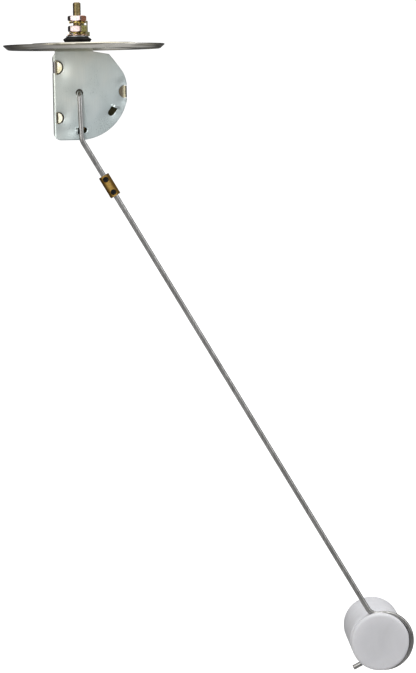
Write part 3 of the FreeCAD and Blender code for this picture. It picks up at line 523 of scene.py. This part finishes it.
def make_materials():
    gold = [(0.13, 0.075, 0.025), (0.33, 0.21, 0.075), (0.45, 0.38, 0.18), (0.25, 0.23, 0.09)]
    pink = [(0.44, 0.28, 0.23), (0.60, 0.46, 0.44), (0.66, 0.535, 0.54), (0.54, 0.47, 0.38)]
    olive = [(0.28, 0.25, 0.13), (0.42, 0.41, 0.24), (0.50, 0.50, 0.36), (0.44, 0.40, 0.42)]
    cover = [
        (0.42, 0.37, 0.22), (0.70, 0.64, 0.42), (0.88, 0.84, 0.66), (0.74, 0.70, 0.52), (0.62, 0.55, 0.54),
    ]
    wound_wire = (9000, 9000, 9000)
    return {
        "flange_zinc": flange_zinc(),
        "clear_zinc": clear_zinc(),
        "yellow_zinc": passivated("yellow_zinc_cover", cover, (0.22, 0.36), 95, ear_painted_light),
        "stud_zinc": passivated("yellow_zinc_stud", gold, (0.16, 0.28), 420, stud_streaks),
        "nut_zinc": passivated("pink_zinc_nut", pink, (0.2, 0.32), 230, nut_side_reflections),
        "tag_zinc": passivated("olive_zinc_tag", olive, (0.3, 0.42), 300, tag_lobes),
        "washer_zinc": plated_metal("washer_zinc_plate", (0.36, 0.38, 0.40), (0.56, 0.58, 0.62), (0.25, 0.4)),
        "insulator_fibre": board("red_fibre", (0.20, 0.055, 0.03), (0.32, 0.11, 0.06)),
        "black_rubber": rubber(),
        "card_board": board("phenolic_board", (0.16, 0.075, 0.03), (0.30, 0.16, 0.07)),
        "resistance_wire": plated_metal(
            "resistance_wire_wrap", (0.06, 0.055, 0.03), (0.17, 0.155, 0.085), (0.3, 0.45), wound_wire),
        "rivet_metal": plated_metal("rivet_brass", (0.44, 0.31, 0.12), (0.70, 0.55, 0.27), (0.22, 0.36)),
        "bush_bronze": plated_metal("oiled_bronze", (0.035, 0.024, 0.014), (0.10, 0.07, 0.04), (0.4, 0.6)),
        "bush_brass": plated_metal("turned_brass", (0.42, 0.29, 0.11), (0.68, 0.52, 0.24), (0.2, 0.36)),
        "spring_brass": plated_metal("rolled_bronze", (0.46, 0.27, 0.11), (0.72, 0.49, 0.24), (0.2, 0.34)),
        "contact_metal": plated_metal("contact_alloy", (0.55, 0.50, 0.38), (0.80, 0.74, 0.60), (0.16, 0.3)),
        "spring_steel": plated_metal("spring_steel", (0.24, 0.24, 0.25), (0.44, 0.44, 0.46), (0.22, 0.36)),
        "rod_steel": rod_steel(),
        "coupler_brass": aged_and_shaded_brass(),
        "black_screw": black_oxide(),
        "float_plastic": float_plastic(),
    }


MATERIALS = make_materials()


# ---- mesh helpers -------------------------------------------------------------------------------


def add_piece(name, bm, body, slot, nodes, sharp=35.0):
    """Turns a bmesh into a piece that rides on a body, replaces its CAD nodes and takes a slot's material."""
    bmesh.ops.remove_doubles(bm, verts=bm.verts, dist=1e-6)
    bmesh.ops.recalc_face_normals(bm, faces=bm.faces)
    limit = math.radians(sharp)
    for edge in bm.edges:
        edge.smooth = len(edge.link_faces) == 2 and edge.calc_face_angle(0.0) < limit
    for face in bm.faces:
        face.smooth = True
    mesh = bpy.data.meshes.new(name)
    bm.to_mesh(mesh)
    bm.free()
    mesh.materials.append(MATERIALS[slot])
    piece = bpy.data.objects.new(name, mesh)
    bpy.context.scene.collection.objects.link(piece)
    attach(piece, body)
    if nodes:
        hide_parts(*nodes)
    return piece


def soften_edges(piece, width, segments, angle):
    """Rounds a piece's edges that are sharper than angle."""
    bevel = piece.modifiers.new("rounded_edges", "BEVEL")
    bevel.width = width
    bevel.segments = segments
    bevel.limit_method = "ANGLE"
    bevel.angle_limit = math.radians(angle)
    bevel.harden_normals = True


def turns(steps):
    """Angles spaced evenly round a circle."""
    return [CIRCLE * k / steps for k in range(steps)]


def circle_points(centre, side, other, radius, steps):
    """Points round a circle, from side towards other."""
    return [centre + (side * math.cos(a) + other * math.sin(a)) * radius for a in turns(steps)]


def skin(bm, loops, wrap=False):
    """Joins each loop to the next by faces. With wrap, the last loop also joins the first."""
    pairs = list(zip(loops, loops[1:]))
    if wrap:
        pairs.append((loops[-1], loops[0]))
    for low, high in pairs:
        for k in range(len(low)):
            j = (k + 1) % len(low)
            bm.faces.new((low[k], low[j], high[j], high[k]))


def capped_skin(bm, loops):
    """A closed skin over a stack of loops, with a flat face at both ends."""
    skin(bm, loops)
    bm.faces.new(loops[0][::-1])
    bm.faces.new(loops[-1])


def add_cylinder(bm, radius, depth, place=Matrix.Identity(4), segments=40):
    bmesh.ops.create_cone(
        bm, cap_ends=True, segments=segments, radius1=radius, radius2=radius, depth=depth, matrix=place)


def cut_with(piece, cutter_bm):
    """Cuts a closed bmesh out of a piece."""
    mesh = bpy.data.meshes.new("cutter")
    cutter_bm.to_mesh(mesh)
    cutter_bm.free()
    cutter = bpy.data.objects.new("cutter", mesh)
    bpy.context.scene.collection.objects.link(cutter)
    boolean = piece.modifiers.new("cut", "BOOLEAN")
    boolean.operation = "DIFFERENCE"
    boolean.solver = "EXACT"
    boolean.object = cutter
    bpy.context.view_layer.update()
    depsgraph = bpy.context.evaluated_depsgraph_get()
    result = bpy.data.meshes.new_from_object(piece.evaluated_get(depsgraph))
    piece.modifiers.remove(boolean)
    result.name = piece.data.name
    piece.data = result
    bpy.data.objects.remove(cutter)


def rounded_profile(points, soft, steps, closed=True):
    """A profile of (radius, height) points with rounded corners. soft has a rounding for each, in mm."""
    count = len(points)
    radii = [rounding * MM for rounding in soft]
    out = []
    for i, point in enumerate(points):
        p = Vector(point)
        if radii[i] <= 0 or (not closed and i in (0, count - 1)):
            out.append(tuple(p))
            continue
        a = Vector(points[i - 1]) - p
        b = Vector(points[(i + 1) % count]) - p
        half = a.angle(b) / 2
        reach = min(radii[i] / math.tan(half), 0.49 * a.length, 0.49 * b.length)
        r = reach * math.tan(half)
        centre = p + (a.normalized() + b.normalized()).normalized() * (r / math.sin(half))
        start = p + a.normalized() * reach - centre
        end = p + b.normalized() * reach - centre
        sweep = math.atan2(start.x * end.y - start.y * end.x, start.dot(end))
        for k in range(steps + 1):
            out.append(tuple(centre + Matrix.Rotation(sweep * k / steps, 2) @ start))
    return out


def lathe(profile, centre, axis, steps=96, closed=True):
    """A bmesh of revolution. profile is (radius, distance along axis) and centre a point on the axis."""
    bm = bmesh.new()
    axis = axis.normalized()
    side = axis.orthogonal().normalized()
    other = axis.cross(side)
    rings = []
    for r, h in profile:
        if r < 1e-7:
            rings.append([bm.verts.new(centre + axis * h)])
            continue
        rings.append([bm.verts.new(p) for p in circle_points(centre + axis * h, side, other, r, steps)])
    pairs = list(zip(rings, rings[1:]))
    if closed:
        pairs.append((rings[-1], rings[0]))
    for low, high in pairs:
        for k in range(steps):
            j = (k + 1) % steps
            corners = [low[k % len(low)], low[j % len(low)], high[j % len(high)], high[k % len(high)]]
            unique = list(dict.fromkeys(corners))
            if len(unique) > 2:
                bm.faces.new(unique)
    return bm


def tube(points, radius, steps=28, end_round=0.3 * MM):
    """A round rod along a smooth list of points, with softly rounded ends."""
    bm = bmesh.new()
    heading = (points[1] - points[0]).normalized()
    side = heading.orthogonal().normalized()
    loops = []

    def add_loop(centre, way, size):
        nonlocal side
        side = (side - way * side.dot(way)).normalized()
        other = way.cross(side)
        loops.append([bm.verts.new(p) for p in circle_points(centre, side, other, size, steps)])

    last = len(points) - 1
    rounding = [(0.0, 1.0 - end_round / radius), (0.35, 1.0 - 0.3 * end_round / radius), (1.0, 1.0)]
    for shift, size in rounding:
        add_loop(points[0] + heading * end_round * shift, heading, radius * size)
    for i in range(1, last):
        ahead = (points[i + 1] - points[i]).normalized()
        behind = (points[i] - points[i - 1]).normalized()
        add_loop(points[i], (ahead + behind).normalized(), radius)
    way = (points[last] - points[last - 1]).normalized()
    for shift, size in reversed(rounding):
        add_loop(points[last] - way * end_round * shift, way, radius * size)
    capped_skin(bm, loops)
    return bm


# ---- flange and terminal ------------------------------------------------------------------------


def make_flange():
    """The stamped disc with its raised middle, its screw holes and the terminal's hole."""
    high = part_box("mounting_flange")[1]
    rim_r = high.x
    top = high.z
    rim_top = 2.6 * MM
    sheet = 1.0 * MM
    dome_r = 27.0 * MM
    wall = 1.5 * MM
    seat_r = 39.4 * MM
    hole_r = 3.8 * MM
    profile = [
        (0, top),
        (dome_r, top),
        (dome_r + wall, sheet),
        (seat_r - 0.6 * MM, sheet),
        (rim_r - 1.3 * MM, rim_top),
        (rim_r - 0.1 * MM, rim_top),
        (rim_r, rim_top - 0.5 * MM),
        (seat_r + 0.35 * MM, 0.15 * MM),
        (seat_r - 0.2 * MM, 0),
        (dome_r + wall - 0.6 * MM, 0),
        (dome_r - 0.6 * MM, top - sheet),
        (0, top - sheet),
    ]
    soft = [0, 1.0, 0.8, 0.8, 0.3, 0.2, 0.3, 0.5, 0.5, 0.3, 0.5, 0]
    shape = rounded_profile(profile, soft, 5, closed=False)
    bm = lathe(shape, Vector((0, 0, 0)), Z_AXIS, steps=180, closed=False)
    piece = add_piece("flange_disc", bm, HOUSING, "flange_zinc", ["mounting_flange"])
    cutter = bmesh.new()
    circle_r = FLANGE_SCREWS["pcd_mm"] * MM / 2
    for a in turns(FLANGE_SCREWS["count"]):
        place = Matrix.Translation((circle_r * math.cos(a), circle_r * math.sin(a), sheet / 2))
        add_cylinder(cutter, FLANGE_SCREWS["hole_r_mm"] * MM, 3 * sheet, place)
    place = Matrix.Translation((STUD_X, 0, top - sheet / 2))
    add_cylinder(cutter, hole_r, 3 * sheet, place, segments=48)
    cut_with(piece, cutter)
    soften_edges(piece, 0.12 * MM, 2, 50)


def make_seal():
    low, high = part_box("rubber_seal")
    bulge_r = (high.x - low.x) / 2
    neck_r = 3.75 * MM
    foot_r = 6.2 * MM
    top_r = 5.7 * MM
    bulge_z = low.z + 1.8 * MM
    lid_r = STUD_R + 0.1 * MM
    lid_z = high.z - 1.4 * MM
    profile = [
        (neck_r, low.z),
        (foot_r, low.z),
        (bulge_r, bulge_z),
        (top_r, high.z),
        (lid_r, high.z),
        (lid_r, lid_z),
        (neck_r, lid_z),
    ]
    soft = [0.1, 0.3, 0.35, 0.3, 0.1, 0.1, 0.1]
    bm = lathe(rounded_profile(profile, soft, 5), STUD_LINE, Z_AXIS)
    add_piece("seal_washer", bm, HOUSING, "black_rubber", ["rubber_seal"])


def make_flat_washer():
    low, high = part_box("flat_washer")
    outer = (high.x - low.x) / 2
    inner = STUD_R + 0.1 * MM
    profile = [(inner, low.z), (outer, low.z), (outer, high.z), (inner, high.z)]
    bm = lathe(rounded_profile(profile, [0.16] * 4, 3), STUD_LINE, Z_AXIS)
    add_piece("plain_washer", bm, HOUSING, "washer_zinc", ["flat_washer"])


def make_tooth_washer(name, node):
    """A spring washer with twisted teeth all round."""
    low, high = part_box(node)
    tip = (high.x - low.x) / 2
    middle = (high.z + low.z) / 2
    inner = STUD_R + 0.08 * MM
    root = tip - 1.5 * MM
    half_sheet = 0.25 * MM
    reach = (high.z - low.z) / 2 - half_sheet
    steps = 14
    half_gap = 0.16
    count = TEETH * steps
    bm = bmesh.new()
    columns = []
    for k in range(count):
        a = CIRCLE * (k / count - 0.5 / TEETH) + TOOTH_TURN
        phase = (k % steps) / steps
        on_tooth = half_gap <= phase <= 1 - half_gap
        outer = tip if on_tooth else root
        across = (phase - 0.5) / (0.5 - half_gap) if on_tooth else 0.0
        lift = across * reach
        way = Vector((math.cos(a), math.sin(a), 0))
        base = STUD_LINE + Z_AXIS * middle
        halfway = (root + outer) / 2
        outline = [
            (inner, 0.0), (root, 0.0), (halfway + 0.01 * MM, 0.7 * lift), (outer + 0.02 * MM, lift),
        ]
        under = [bm.verts.new(base + way * r + Z_AXIS * (h - half_sheet)) for r, h in outline]
        over = [bm.verts.new(base + way * r + Z_AXIS * (h + half_sheet)) for r, h in outline]
        columns.append(under[:1] + over + under[:0:-1])
    skin(bm, columns, wrap=True)
    piece = add_piece(name, bm, HOUSING, "stud_zinc", [node])
    soften_edges(piece, 0.06 * MM, 1, 50)


def make_nut(name, node, turn):
    """A hexagon nut with a conical chamfer at both ends and a countersunk, threaded bore."""
    low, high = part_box(node)
    chamfer_r = NUT_FLAT * 0.965
    chamfer_slope = math.tan(math.radians(30))
    bore = STUD_R - 0.05 * MM
    mouth = bore + 0.35 * MM
    countersink = 0.3 * MM
    thread_depth = 0.12 * MM
    rows = 9
    thread_turns = 4
    count = 96
    bm = bmesh.new()
    columns = []
    for k, a in enumerate(turns(count)):
        from_flat = (a + math.pi / 6) % (math.pi / 3) - math.pi / 6
        r = NUT_FLAT / math.cos(from_flat)
        drop = max(0.0, (r - chamfer_r) * chamfer_slope)
        way = Matrix.Rotation(a + math.radians(turn + 30), 3, "Z") @ X_AXIS
        outline = [
            (mouth, low.z), (chamfer_r, low.z), (r, low.z + drop),
            (r, high.z - drop), (chamfer_r, high.z), (mouth, high.z),
        ]
        for i in range(rows):
            down = i / (rows - 1)
            h = high.z - countersink - (high.z - low.z - 2 * countersink) * down
            wave = 0.5 + 0.5 * math.cos(CIRCLE * (thread_turns * down - k / count))
            outline.append((bore + thread_depth * wave, h))
        columns.append([bm.verts.new(STUD_LINE + way * r + Z_AXIS * h) for r, h in outline])
    skin(bm, columns, wrap=True)
    piece = add_piece(name, bm, HOUSING, "nut_zinc", [node], sharp=22.0)
    soften_edges(piece, 0.11 * MM, 2, 24)


def make_stud():
    """The terminal stud: its hidden head and spigot, and a helical thread up to the free end."""
    low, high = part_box("terminal_stud")
    depth = 0.11 * MM
    start = 1.2 * MM
    end = high.z - 0.5 * MM
    run_out = 0.6 * MM
    steps_per_turn = 12
    rows = int((end - start) / THREAD_PITCH * steps_per_turn)
    bm = bmesh.new()
    loops = []

    def add_loop(z, radius_at):
        loop = []
        for a in turns(48):
            r = radius_at(a)
            loop.append(bm.verts.new(STUD_LINE + Vector((r * math.cos(a), r * math.sin(a), z))))
        loops.append(loop)

    def plain(radius):
        return lambda a: radius

    def thread(z):
        def radius_at(a):
            phase = ((z - start) / THREAD_PITCH - a / CIRCLE) % 1.0
            tooth = abs(2 * phase - 1)
            fade = min(1.0, max(0.0, (end - z) / run_out))
            return STUD_R - depth + depth * min(1.0, max(0.0, 1.25 * tooth - 0.1)) * (0.35 + 0.65 * fade)
        return radius_at

    head_r = (high.x - low.x) / 2
    head_half = 0.9 * MM
    edge = 0.15 * MM
    spigot_r = 1.3 * MM
    tail_r = 1.7 * MM
    tail_top = low.z + 0.6 * MM
    levels = [
        (low.z, tail_r - 0.2 * MM), (low.z + edge, tail_r), (tail_top, tail_r), (tail_top, spigot_r),
        (-head_half, spigot_r), (-head_half, head_r - edge), (edge - head_half, head_r),
        (head_half - edge, head_r), (head_half, head_r - edge), (head_half, STUD_R - edge),
    ]
    for z, r in levels:
        add_loop(z, plain(r))
    for i in range(rows + 1):
        z = start + (end - start) * i / rows
        add_loop(z, thread(z))
    add_loop(high.z - 0.12 * MM, plain(STUD_R - 0.62 * MM))
    add_loop(high.z, plain(STUD_R - 0.85 * MM))
    capped_skin(bm, loops)
    add_piece("threaded_stud", bm, HOUSING, "stud_zinc", ["terminal_stud"], sharp=48.0)


# ---- arm ----------------------------------------------------------------------------------------


def fillet_path(points, radii, step=0.35 * MM):
    """Points along straight runs joined by tangent arcs."""
    out = [points[0]]
    for i in range(1, len(points) - 1):
        corner = points[i]
        into = (points[i - 1] - corner).normalized()
        away = (points[i + 1] - corner).normalized()
        half = into.angle(away) / 2
        radius = radii[i - 1]
        reach = radius / math.tan(half)
        middle = (into + away).normalized()
        centre = corner + middle * (radius / math.sin(half))
        start = corner + into * reach - centre
        end = corner + away * reach - centre
        sweep = start.angle(end)
        axis = start.cross(end).normalized()
        count = max(6, int(radius * sweep / step))
        for k in range(count + 1):
            out.append(centre + Matrix.Rotation(sweep * k / count, 3, axis) @ start)
    out.append(points[-1])
    return out


def spaced(points, longest=6 * MM):
    """The same path with long straight runs divided, so that the mesh has even rings."""
    out = [points[0]]
    for a, b in zip(points, points[1:]):
        parts = max(1, math.ceil((b - a).length / longest))
        for k in range(1, parts + 1):
            out.append(a.lerp(b, k / parts))
    return out


def make_crank():
    """The shaft through the housing, bent down in front of it and out to the coupler."""
    end_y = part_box("crank_rod")[1].y
    bend = Vector((PIVOT.x + 0.7 * MM, PIVOT.y, PIVOT.z - 24.3 * MM))
    points = [Vector((PIVOT.x, end_y, PIVOT.z)), PIVOT.copy(), bend, COUPLER - ARM_WAY * 0.15 * MM]
    path = spaced(fillet_path(points, (3.2 * MM, 9.0 * MM)))
    add_piece("crank_wire", tube(path, ROD_R), ARM, "rod_steel", ["crank_rod"])


def make_float_wire():
    """The long wire: straight run, outward bend, loop round the float and turned-out tail."""
    left = Vector((-ARM_WAY.z, 0, ARM_WAY.x))
    start = COUPLER + ARM_WAY * 0.15 * MM
    bend_r = 6.0 * MM
    along = (LOOP - start).dot(ARM_WAY)
    across = bend_r - (LOOP - start).dot(left)
    run = along - math.sqrt((LOOP_R + bend_r) ** 2 - across ** 2)
    bend_start = start + ARM_WAY * run
    bend_centre = bend_start + left * bend_r
    to_bend = (bend_centre - LOOP).normalized()
    points = [start, bend_start]

    def sweep(centre, radius, first, last, count):
        for k in range(1, count + 1):
            a = first + (last - first) * k / count
            points.append(centre + Vector((math.cos(a), 0, math.sin(a))) * radius)

    def angle_of(v):
        return math.atan2(v.z, v.x)

    first = angle_of(bend_start - bend_centre)
    last = angle_of(-to_bend)
    if last < first:
        last += CIRCLE
    sweep(bend_centre, bend_r, first, last, 18)
    sweep(LOOP, LOOP_R, angle_of(to_bend), LOOP_END, 120)
    tail_centre = LOOP + Vector((math.cos(LOOP_END), 0, math.sin(LOOP_END))) * (LOOP_R + TAIL_R)
    sweep(tail_centre, TAIL_R, LOOP_END + math.pi, TAIL_WAY - math.pi / 2, 14)
    points.append(points[-1] + Vector((math.cos(TAIL_WAY), 0, math.sin(TAIL_WAY))) * TAIL_LENGTH)
    add_piece("float_wire", tube(spaced(points), ROD_R - WIRE_ROOM), ARM, "rod_steel", ["float_rod"])


def on_arm(bm):
    """Places a bmesh that was built upright at the origin at the coupler, in line with the arm."""
    turn = Matrix.Rotation(-ARM_ANGLE, 4, "Y")
    bmesh.ops.transform(bm, matrix=Matrix.Translation(COUPLER) @ turn, verts=bm.verts)
    return bm


def make_coupler():
    """A square brass block with cut corners, bored for the rods and cross-bored for the set screws."""
    corner = COUPLER_HALF - 1.1 * MM
    outline = [
        (COUPLER_HALF, -corner), (COUPLER_HALF, corner), (corner, COUPLER_HALF), (-corner, COUPLER_HALF),
        (-COUPLER_HALF, corner), (-COUPLER_HALF, -corner), (-corner, -COUPLER_HALF), (corner, -COUPLER_HALF),
    ]
    bm = bmesh.new()
    capped_skin(bm, [
        [bm.verts.new((x, y, end * COUPLER_LENGTH / 2)) for x, y in outline]
        for end in (-1, 1)
    ])
    piece = add_piece("coupler_block", on_arm(bm), ARM, "coupler_brass", ["rod_coupler"])
    rod_hole = bmesh.new()
    add_cylinder(rod_hole, ROD_R + 0.06 * MM, 1.2 * COUPLER_LENGTH)
    cut_with(piece, on_arm(rod_hole))
    for z in SET_SCREW_PLACES:
        screw_hole = bmesh.new()
        place = Matrix.Translation((0, -COUPLER_HALF, z)) @ Matrix.Rotation(math.pi / 2, 4, "X")
        add_cylinder(screw_hole, SET_SCREW_R + 0.03 * MM, 2 * COUPLER_HALF - 0.4 * MM, place)
        cut_with(piece, on_arm(screw_hole))
    soften_edges(piece, 0.16 * MM, 2, 30)


def make_set_screws():
    """Two set screws, each with a chamfered face and a six-sided socket."""
    face = 0.22 * MM - COUPLER_HALF
    socket_flat = 0.78 * MM * math.cos(math.pi / 6)
    steps = 36

    def round_row(radius):
        return [radius] * steps

    six_sided_row = [socket_flat / math.cos(a % (math.pi / 3) - math.pi / 6) for a in turns(steps)]
    rows = [
        (-1.3 * MM, round_row(SET_SCREW_R)),
        (face + 0.25 * MM, round_row(SET_SCREW_R)),
        (face, round_row(SET_SCREW_R - 0.22 * MM)),
        (face + 0.05 * MM, six_sided_row),
        (face + 0.95 * MM, six_sided_row),
    ]
    for number, z in enumerate(SET_SCREW_PLACES):
        bm = bmesh.new()
        capped_skin(bm, [
            [bm.verts.new((r * math.cos(a), y, z + r * math.sin(a))) for r, a in zip(row, turns(steps))]
            for y, row in rows
        ])
        nodes = ["set_screws"] if number == 0 else []
        piece = add_piece(f"set_screw_{number + 1}", on_arm(bm), ARM, "black_screw", nodes)
        soften_edges(piece, 0.05 * MM, 2, 40)


# ---- float --------------------------------------------------------------------------------------


def make_float():
    """A hollow moulded drum: body with a neck, and a front cap with the lip, joined at a weld line."""
    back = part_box("float_body")[1].y
    front = CAP_LOW.y
    lip_r = (CAP_HIGH.x - CAP_LOW.x) / 2
    back_r = lip_r - 0.15 * MM
    recess_y = back - 0.25 * MM
    inner_r = back_r - FLOAT_WALL
    back_wall_y = back - 1.2 * FLOAT_WALL
    neck_r = GROOVE_R - FLOAT_WALL
    centre = Vector((FLOAT.x, 0, FLOAT.z))
    body = [
        (0, recess_y), (back_r * 0.55, recess_y), (back_r * 0.62, back), (back_r, back),
        (lip_r, GROOVE_BACK), (GROOVE_R, GROOVE_BACK), (GROOVE_R, LIP_BACK), (neck_r, LIP_BACK),
        (neck_r, GROOVE_BACK + FLOAT_WALL), (inner_r, GROOVE_BACK + 3 * FLOAT_WALL),
        (inner_r, back_wall_y), (0, back_wall_y),
    ]
    soft = [0, 0.6, 0.6, 1.3, 1.0, 0.5, 0.3, 0.2, 0.5, 1.5, 1.5, 0]
    bm = lathe(rounded_profile(body, soft, 7, closed=False), centre, Y_AXIS, 128, closed=False)
    add_piece("float_drum", bm, ARM, "float_plastic", ["float_body"])
    spigot_r = neck_r - 0.05 * MM
    spigot_back = LIP_BACK + 2 * MM
    front_wall_y = front + 1.2 * FLOAT_WALL
    cap = [
        (0, front + 0.22 * MM), (lip_r * 0.42, front + 0.16 * MM), (lip_r, front), (lip_r, LIP_BACK),
        (spigot_r, LIP_BACK), (spigot_r, spigot_back), (spigot_r - FLOAT_WALL, spigot_back),
        (spigot_r - FLOAT_WALL, front_wall_y), (0, front_wall_y),
    ]
    soft = [0, 3.0, 1.5, 0.6, 0.2, 0.3, 0.3, 0.5, 0]
    bm = lathe(rounded_profile(cap, soft, 7, closed=False), centre, Y_AXIS, 128, closed=False)
    add_piece("float_lip_cap", bm, ARM, "float_plastic", ["float_cap"])


# ---- sheet-metal pieces -------------------------------------------------------------------------


# press marks in the front plate: x and z of the middle, half-width, half-height and depth, in mm
DIMPLES = (
    (-12.2, -10.2, 3.6, 4.6, 0.42),
    (-12.0, -36.2, 3.4, 4.6, 0.40),
    (19.3, -17.8, 2.4, 2.2, 0.24),
    (19.2, -26.8, 2.6, 2.4, 0.26),
    (-9.6, -42.0, 4.6, 3.2, 0.34),
    (13.0, -34.0, 3.4, 3.0, 0.24),
    (-2.8, -22.4, 4.6, 4.6, 0.16),
)


def cad_copy(node):
    """The CAD node's shape as a bmesh in the rest frame, with its flat faces merged."""
    source = frame["nodes"][node]
    bm = bmesh.new()
    bm.from_mesh(source.data)
    bm.transform(source.matrix_world)
    bmesh.ops.remove_doubles(bm, verts=bm.verts, dist=1e-6)
    bmesh.ops.dissolve_limit(bm, angle_limit=math.radians(0.4), verts=bm.verts, edges=bm.edges)
    return bm


def make_front_plate():
    """The stamped sheet, cut into a fine grid so that the press marks round its windows can be shaped."""
    bm = cad_copy("front_plate")
    low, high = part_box("front_plate")
    rim = [e for e in bm.edges if len(e.link_faces) == 2 and e.calc_face_angle(0.0) > math.radians(50)]
    bmesh.ops.bevel(
        bm, geom=rim, offset=EDGE_SOFT, segments=2, profile=0.5, affect="EDGES", clamp_overlap=True)
    for axis, start, end in ((X_AXIS, low.x, high.x), (Z_AXIS, low.z, high.z)):
        for k in range(1, int((end - start) / SHEET_GRID)):
            geometry = bm.verts[:] + bm.edges[:] + bm.faces[:]
            bmesh.ops.bisect_plane(bm, geom=geometry, plane_co=axis * (start + k * SHEET_GRID), plane_no=axis)
    for vert in bm.verts:
        if vert.co.y > PLATE_BACK + 0.1 * MM:
            continue
        for x, z, half_w, half_h, depth in DIMPLES:
            away = ((vert.co.x / MM - x) / half_w) ** 2 + ((vert.co.z / MM - z) / half_h) ** 2
            vert.co.y += DIMPLE_STRENGTH * depth * MM * math.exp(-away)
    add_piece("front_sheet", bm, HOUSING, "clear_zinc", ["front_plate"], sharp=40.0)


def make_soft_copy(name, node, slot, width):
    """The CAD shape with softly rounded edges."""
    piece = add_piece(name, cad_copy(node), HOUSING, slot, [node], sharp=30.0)
    soften_edges(piece, width, 2, 45)


# ---- CAD nodes that stay ------------------------------------------------------------------------


def finish_cad_nodes():
    """Gives each CAD node the material of its slot. The nodes that no piece replaces stay in view."""
    slots = {s["node"]: s["material_slot"] for s in frame["record"]["subparts"]}
    for name, node in frame["nodes"].items():
        node.data.materials.clear()
        node.data.materials.append(MATERIALS[slots[name]])


# ---- stage --------------------------------------------------------------------------------------


FLOOR_DROP = 0.42
FLOOR_REACH = 14.0
# height (0 is straight down, 0.5 the horizon) and brightness of the surroundings
WORLD_FRONT = ((0.35, 0.34), (0.50, 0.44), (0.62, 0.52), (0.95, 0.80))
WORLD_BACK = ((0.36, 0.10), (0.45, 0.30), (0.49, 0.04), (0.60, 0.06), (0.95, 0.80))


def greys(*stops):
    """Grey stops for a ramp, from pairs of place and brightness."""
    return [(place, (level,) * 3) for place, level in stops]


def make_stage():
    """A pale floor well below the float, brightest towards the back, and darker in reflections."""
    bm = bmesh.new()
    bmesh.ops.create_grid(bm, x_segments=2, y_segments=2, size=FLOOR_REACH)
    mesh = bpy.data.meshes.new("floor")
    bm.to_mesh(mesh)
    bm.free()
    floor = bpy.data.objects.new("floor", mesh)
    floor.location = (0, 0, CAD_BOX[0].z - FLOOR_DROP)
    bpy.context.scene.collection.objects.link(floor)
    n = Surface("floor_white")
    depth = n.spread(n.axis("Y"), 0.0, 1.0, 0.3, 1.6)
    seen = n.camera_ray()
    pale = n.ramp(depth, greys((0.0, 0.50), (1.0, 0.90)))
    mirrored = n.ramp(depth, greys((0.0, 0.46), (1.0, 0.16)))
    n.colour(n.mix(seen, mirrored, pale))
    glow = n.ramp(depth, greys((0.0, 0.0), (1.0, 0.7)))
    n.link(n.mix(seen, (0.0, 0.0, 0.0), glow), n.shader.inputs["Emission Color"])
    n.shader.inputs["Emission Strength"].default_value = 1.0
    n.set(roughness=0.9, specular=0.1)
    mesh.materials.append(n.material)


def make_world():
    """Soft studio surroundings, brighter in front than behind, and white where the camera looks."""
    world = bpy.data.worlds.new("studio")
    bpy.context.scene.world = world
    n = Nodes(world, "Generated")
    height = n.spread(n.axis("Z"), 0.0, 1.0, -1.0, 1.0)
    depth = n.spread(n.axis("Y"), 0.0, 1.0, -0.35, 0.35)
    front = n.ramp(height, greys(*WORLD_FRONT))
    back = n.ramp(height, greys(*WORLD_BACK))
    studio = n.tree.nodes["Background"]
    n.link(n.mix(depth, front, back), studio.inputs["Color"])
    white = n.tree.nodes.new("ShaderNodeBackground")
    white.inputs["Color"].default_value = (1, 1, 1, 1)
    white.inputs["Strength"].default_value = 1.1
    choice = n.tree.nodes.new("ShaderNodeMixShader")
    n.link(n.camera_ray(), choice.inputs["Fac"])
    n.link(studio.outputs["Background"], choice.inputs[1])
    n.link(white.outputs["Background"], choice.inputs[2])
    n.link(choice.outputs["Shader"], n.tree.nodes["World Output"].inputs["Surface"])


def area_light(name, offset, size, radiance, tint=(1, 1, 1)):
    """A softbox that looks at the part's middle. Its power follows from how bright its face should be."""
    middle = (CAD_BOX[0] + CAD_BOX[1]) / 2
    data = bpy.data.lights.new(name, "AREA")
    data.shape = "RECTANGLE"
    data.size = size[0]
    data.size_y = size[1]
    data.energy = radiance * math.pi * size[0] * size[1]
    data.color = tint
    light = bpy.data.objects.new(name, data)
    light.location = middle + Vector(offset)
    light.rotation_euler = (middle - light.location).to_track_quat("-Z", "Y").to_euler()
    bpy.context.scene.collection.objects.link(light)


def make_lights():
    area_light("overhead_softbox", (0.1, 0.0, 1.3), (1.8, 1.6), 1.3)
    area_light("front_left_softbox", (-0.62, -1.35, 0.45), (0.55, 0.9), 2.4)
    area_light("left_strip", (-1.15, -0.9, 0.3), (0.30, 1.3), 1.9, (1.0, 0.95, 0.86))
    area_light("right_fill", (1.4, -0.5, 0.4), (0.5, 1.2), 1.2)
    bpy.context.scene.view_settings.view_transform = "Standard"


# ---- build --------------------------------------------------------------------------------------

make_camera()
finish_cad_nodes()
make_flange()
make_seal()
make_flat_washer()
make_tooth_washer("toothed_washer_low", "lower_tooth_washer")
make_tooth_washer("toothed_washer_high", "upper_lock_washer")
make_nut("hexagon_nut_low", "lower_nut", -14.0)
make_nut("hexagon_nut_top", "top_nut", -12.0)
make_stud()
make_front_plate()
make_soft_copy("back_shell", "housing_cover", "yellow_zinc", 0.14 * MM)
make_soft_copy("wire_tag", "terminal_tag", "tag_zinc", 0.09 * MM)
make_crank()
make_float_wire()
make_coupler()
make_set_screws()
make_float()
make_stage()
make_world()
make_lights()
